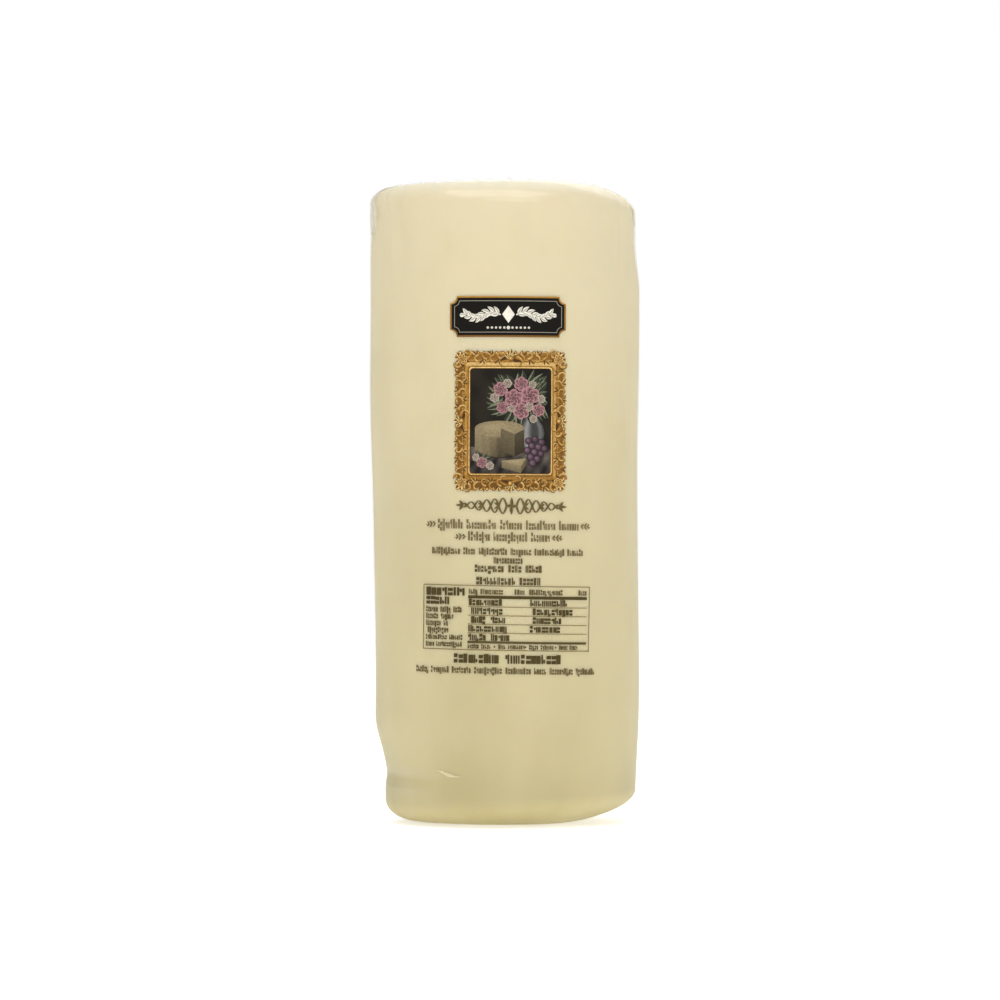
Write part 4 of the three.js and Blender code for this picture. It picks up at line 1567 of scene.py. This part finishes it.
def build_wording(sizes, looks):
    """The flourish, the rows of stand-in words, the fleurons and the ruled table."""
    tilt = sizes.print_tilt
    draw = np.random.default_rng(sizes.seed)
    marks = []
    for centre, *row in ROWS:
        marks += word_marks(draw, centre, *row, tilt)
    rules, rows = table_art(sizes)
    for start, v, *row in rows:
        base = (TABLE_AT[0] + v * math.sin(tilt), TABLE_AT[1] + v)
        marks += word_marks(draw, base, *row, tilt, start)
    u, v, wide, tall, tone = np.array(marks).T
    values = {"wide": wide * MM, "tall": tall * MM, "tone": tone, "lean": 0 * u}
    words = flat_object("wording", np.stack((u, v, 0 * u), 1), values=values)
    # one metre each way, since a point's values scale it
    corners = np.array([(u, 0, v) for v in (0, 0.5, 1) for u in (-0.5, 0.5)])
    mark = make_object("mark", corners / MM, [(0, 1, 3, 2), (2, 3, 5, 4)])
    add_modifier(words, marks_tree(), Mark=mark)
    degrees = -math.degrees(tilt)
    ink = ink_material("brown_ink", looks.ink_brown, looks.ink_pale, 0.5, 0.1)
    for name, part in (
        ("wording", words),
        ("table_rules", rules.object("table_rules", TABLE_AT, degrees)),
        ("flourish", flourish_art().object("flourish", FLOURISH_AT, degrees)),
        ("fleurons", fleurons_art(tilt).object("fleurons")),
    ):
        print_piece(name, [part], ink, sizes)
    remove_objects(mark)


# ---------------------------------------------------------------- stage

CAMERA_AT = (-0.0021, -2.3, 0.1366)
CAMERA_LENS = 195.0
SENSOR = 36.0
CAMERA_CLIP = 50
FLOOR_REACH = 12000
FLOOR_HEIGHT = -0.05
# Name, place, width, height and power of each light.
LIGHTS = (
    ("overhead", (-0.06, -0.45, 1.6), 1.5, 1.3, 13.5),
    ("front", (0.4, -2.1, 1.3), 1.6, 1.2, 8.2),
    ("left_strip", (-0.95, 1.4, 0.5), 0.3, 1.1, 0.25),
    ("right_strip", (1.0, 1.35, 0.45), 0.3, 1.1, 0.25),
    ("back", (0.5, 1.9, 1.3), 1.4, 1.0, 8.0),
)
LIGHT_AIM = Vector((0, 0, 0.14))


def build_stage():
    scene = bpy.context.scene
    camera_data = bpy.data.cameras.new("camera")
    camera_data.sensor_width = SENSOR
    camera_data.lens = CAMERA_LENS
    camera_data.clip_end = CAMERA_CLIP
    camera = bpy.data.objects.new("camera", camera_data)
    camera.location = CAMERA_AT
    camera.rotation_euler = (math.pi / 2, 0, 0)
    scene.collection.objects.link(camera)
    scene.camera = camera

    material, nodes = new_material("pale_floor")
    nodes.principled(
        {
            "Base Color": (0.95, 0.95, 0.95),
            "Roughness": 0.8,
            "Specular IOR Level": 0.1,
            "Emission Color": (1, 1, 1),
            "Emission Strength": 0.54,
        }
    )
    signs = ((-1, -1), (1, -1), (1, 1), (-1, 1))
    corners = [(FLOOR_REACH * su, FLOOR_REACH * sv, FLOOR_HEIGHT) for su, sv in signs]
    floor = make_object("floor", corners, [(0, 1, 2, 3)], material, smooth=False)

    world = bpy.data.worlds.new("studio")
    world.use_nodes = True
    nodes = Nodes(world.node_tree)
    seen = nodes.shader("LightPath").outputs["Is Camera Ray"]
    strength = nodes.calc("MULTIPLY_ADD", seen, 0.5, 0.5)
    sky = nodes.shader("Background", {"Color": (1, 1, 1), "Strength": strength})
    nodes.shader("OutputWorld", {"Surface": sky})
    scene.world = world

    for name, place, width, height, power in LIGHTS:
        data = bpy.data.lights.new(name, "AREA")
        data.shape = "RECTANGLE"
        data.size, data.size_y = width, height
        data.energy = power
        light = bpy.data.objects.new(name, data)
        light.location = place
        light.rotation_euler = (LIGHT_AIM - Vector(place)).to_track_quat("-Z", "Y").to_euler()
        scene.collection.objects.link(light)
    scene.view_settings.view_transform = "Standard"
    scene.view_settings.look = "None"


# ---------------------------------------------------------------- operators and panel

class ProvoloneOperator:
    bl_options = {"REGISTER", "UNDO"}

    def execute(self, context):
        self.build(context.scene.provolone_sizes, context.scene.provolone_looks)
        return {"FINISHED"}


class PROVOLONE_OT_cheese(ProvoloneOperator, bpy.types.Operator):
    """Make the cheese inside the bag"""

    bl_idname = "provolone.cheese"
    bl_label = "Cheese"
    build = staticmethod(build_cheese)


class PROVOLONE_OT_film(ProvoloneOperator, bpy.types.Operator):
    """Make the clear shrink film that clings to the cheese"""

    bl_idname = "provolone.film"
    bl_label = "Shrink film"
    build = staticmethod(build_film)


class PROVOLONE_OT_seal(ProvoloneOperator, bpy.types.Operator):
    """Make the heat seal over the top and its ears"""

    bl_idname = "provolone.seal"
    bl_label = "Seal"
    build = staticmethod(build_seal)


class PROVOLONE_OT_creases(ProvoloneOperator, bpy.types.Operator):
    """Make the small sharp creases of the film"""

    bl_idname = "provolone.creases"
    bl_label = "Creases"
    build = staticmethod(build_creases)


class PROVOLONE_OT_plaque(ProvoloneOperator, bpy.types.Operator):
    """Print the dark plaque"""

    bl_idname = "provolone.plaque"
    bl_label = "Plaque"
    build = staticmethod(build_plaque)


class PROVOLONE_OT_panel(ProvoloneOperator, bpy.types.Operator):
    """Print the gilt panel with its still life"""

    bl_idname = "provolone.panel"
    bl_label = "Panel"
    build = staticmethod(build_panel)


class PROVOLONE_OT_wording(ProvoloneOperator, bpy.types.Operator):
    """Print the flourish, the rows of stand-in words and the table"""

    bl_idname = "provolone.wording"
    bl_label = "Wording"
    build = staticmethod(build_wording)


class PROVOLONE_OT_stage(bpy.types.Operator):
    """Make the floor, the lights and the camera"""

    bl_idname = "provolone.stage"
    bl_label = "Stage"

    def execute(self, context):
        build_stage()
        return {"FINISHED"}


OPERATORS = (
    PROVOLONE_OT_cheese,
    PROVOLONE_OT_film,
    PROVOLONE_OT_seal,
    PROVOLONE_OT_creases,
    PROVOLONE_OT_plaque,
    PROVOLONE_OT_panel,
    PROVOLONE_OT_wording,
    PROVOLONE_OT_stage,
)


class PROVOLONE_PT_panel(bpy.types.Panel):
    """Lists the steps that dress the log"""

    bl_idname = "PROVOLONE_PT_panel"
    bl_label = "Provolone Log"
    bl_space_type = "VIEW_3D"
    bl_region_type = "UI"
    bl_category = "Provolone"

    def draw(self, context):
        for operator in OPERATORS:
            self.layout.operator(operator.bl_idname)
        for group in (context.scene.provolone_sizes, context.scene.provolone_looks):
            for name in group.bl_rna.properties.keys():
                if name not in ("rna_type", "name"):
                    self.layout.prop(group, name)


CLASSES = (ProvoloneSizes, ProvoloneLooks, *OPERATORS, PROVOLONE_PT_panel)


def register():
    for made in CLASSES:
        bpy.utils.register_class(made)
    bpy.types.Scene.provolone_sizes = PointerProperty(type=ProvoloneSizes)
    bpy.types.Scene.provolone_looks = PointerProperty(type=ProvoloneLooks)


def unregister():
    del bpy.types.Scene.provolone_looks
    del bpy.types.Scene.provolone_sizes
    for made in reversed(CLASSES):
        bpy.utils.unregister_class(made)


def main():
    register()
    for operator in OPERATORS:
        group, name = operator.bl_idname.split(".")
        if getattr(getattr(bpy.ops, group), name)() != {"FINISHED"}:
            raise RuntimeError(f"{operator.bl_label} wasn't finished")


if __name__ == "__main__":
    main()
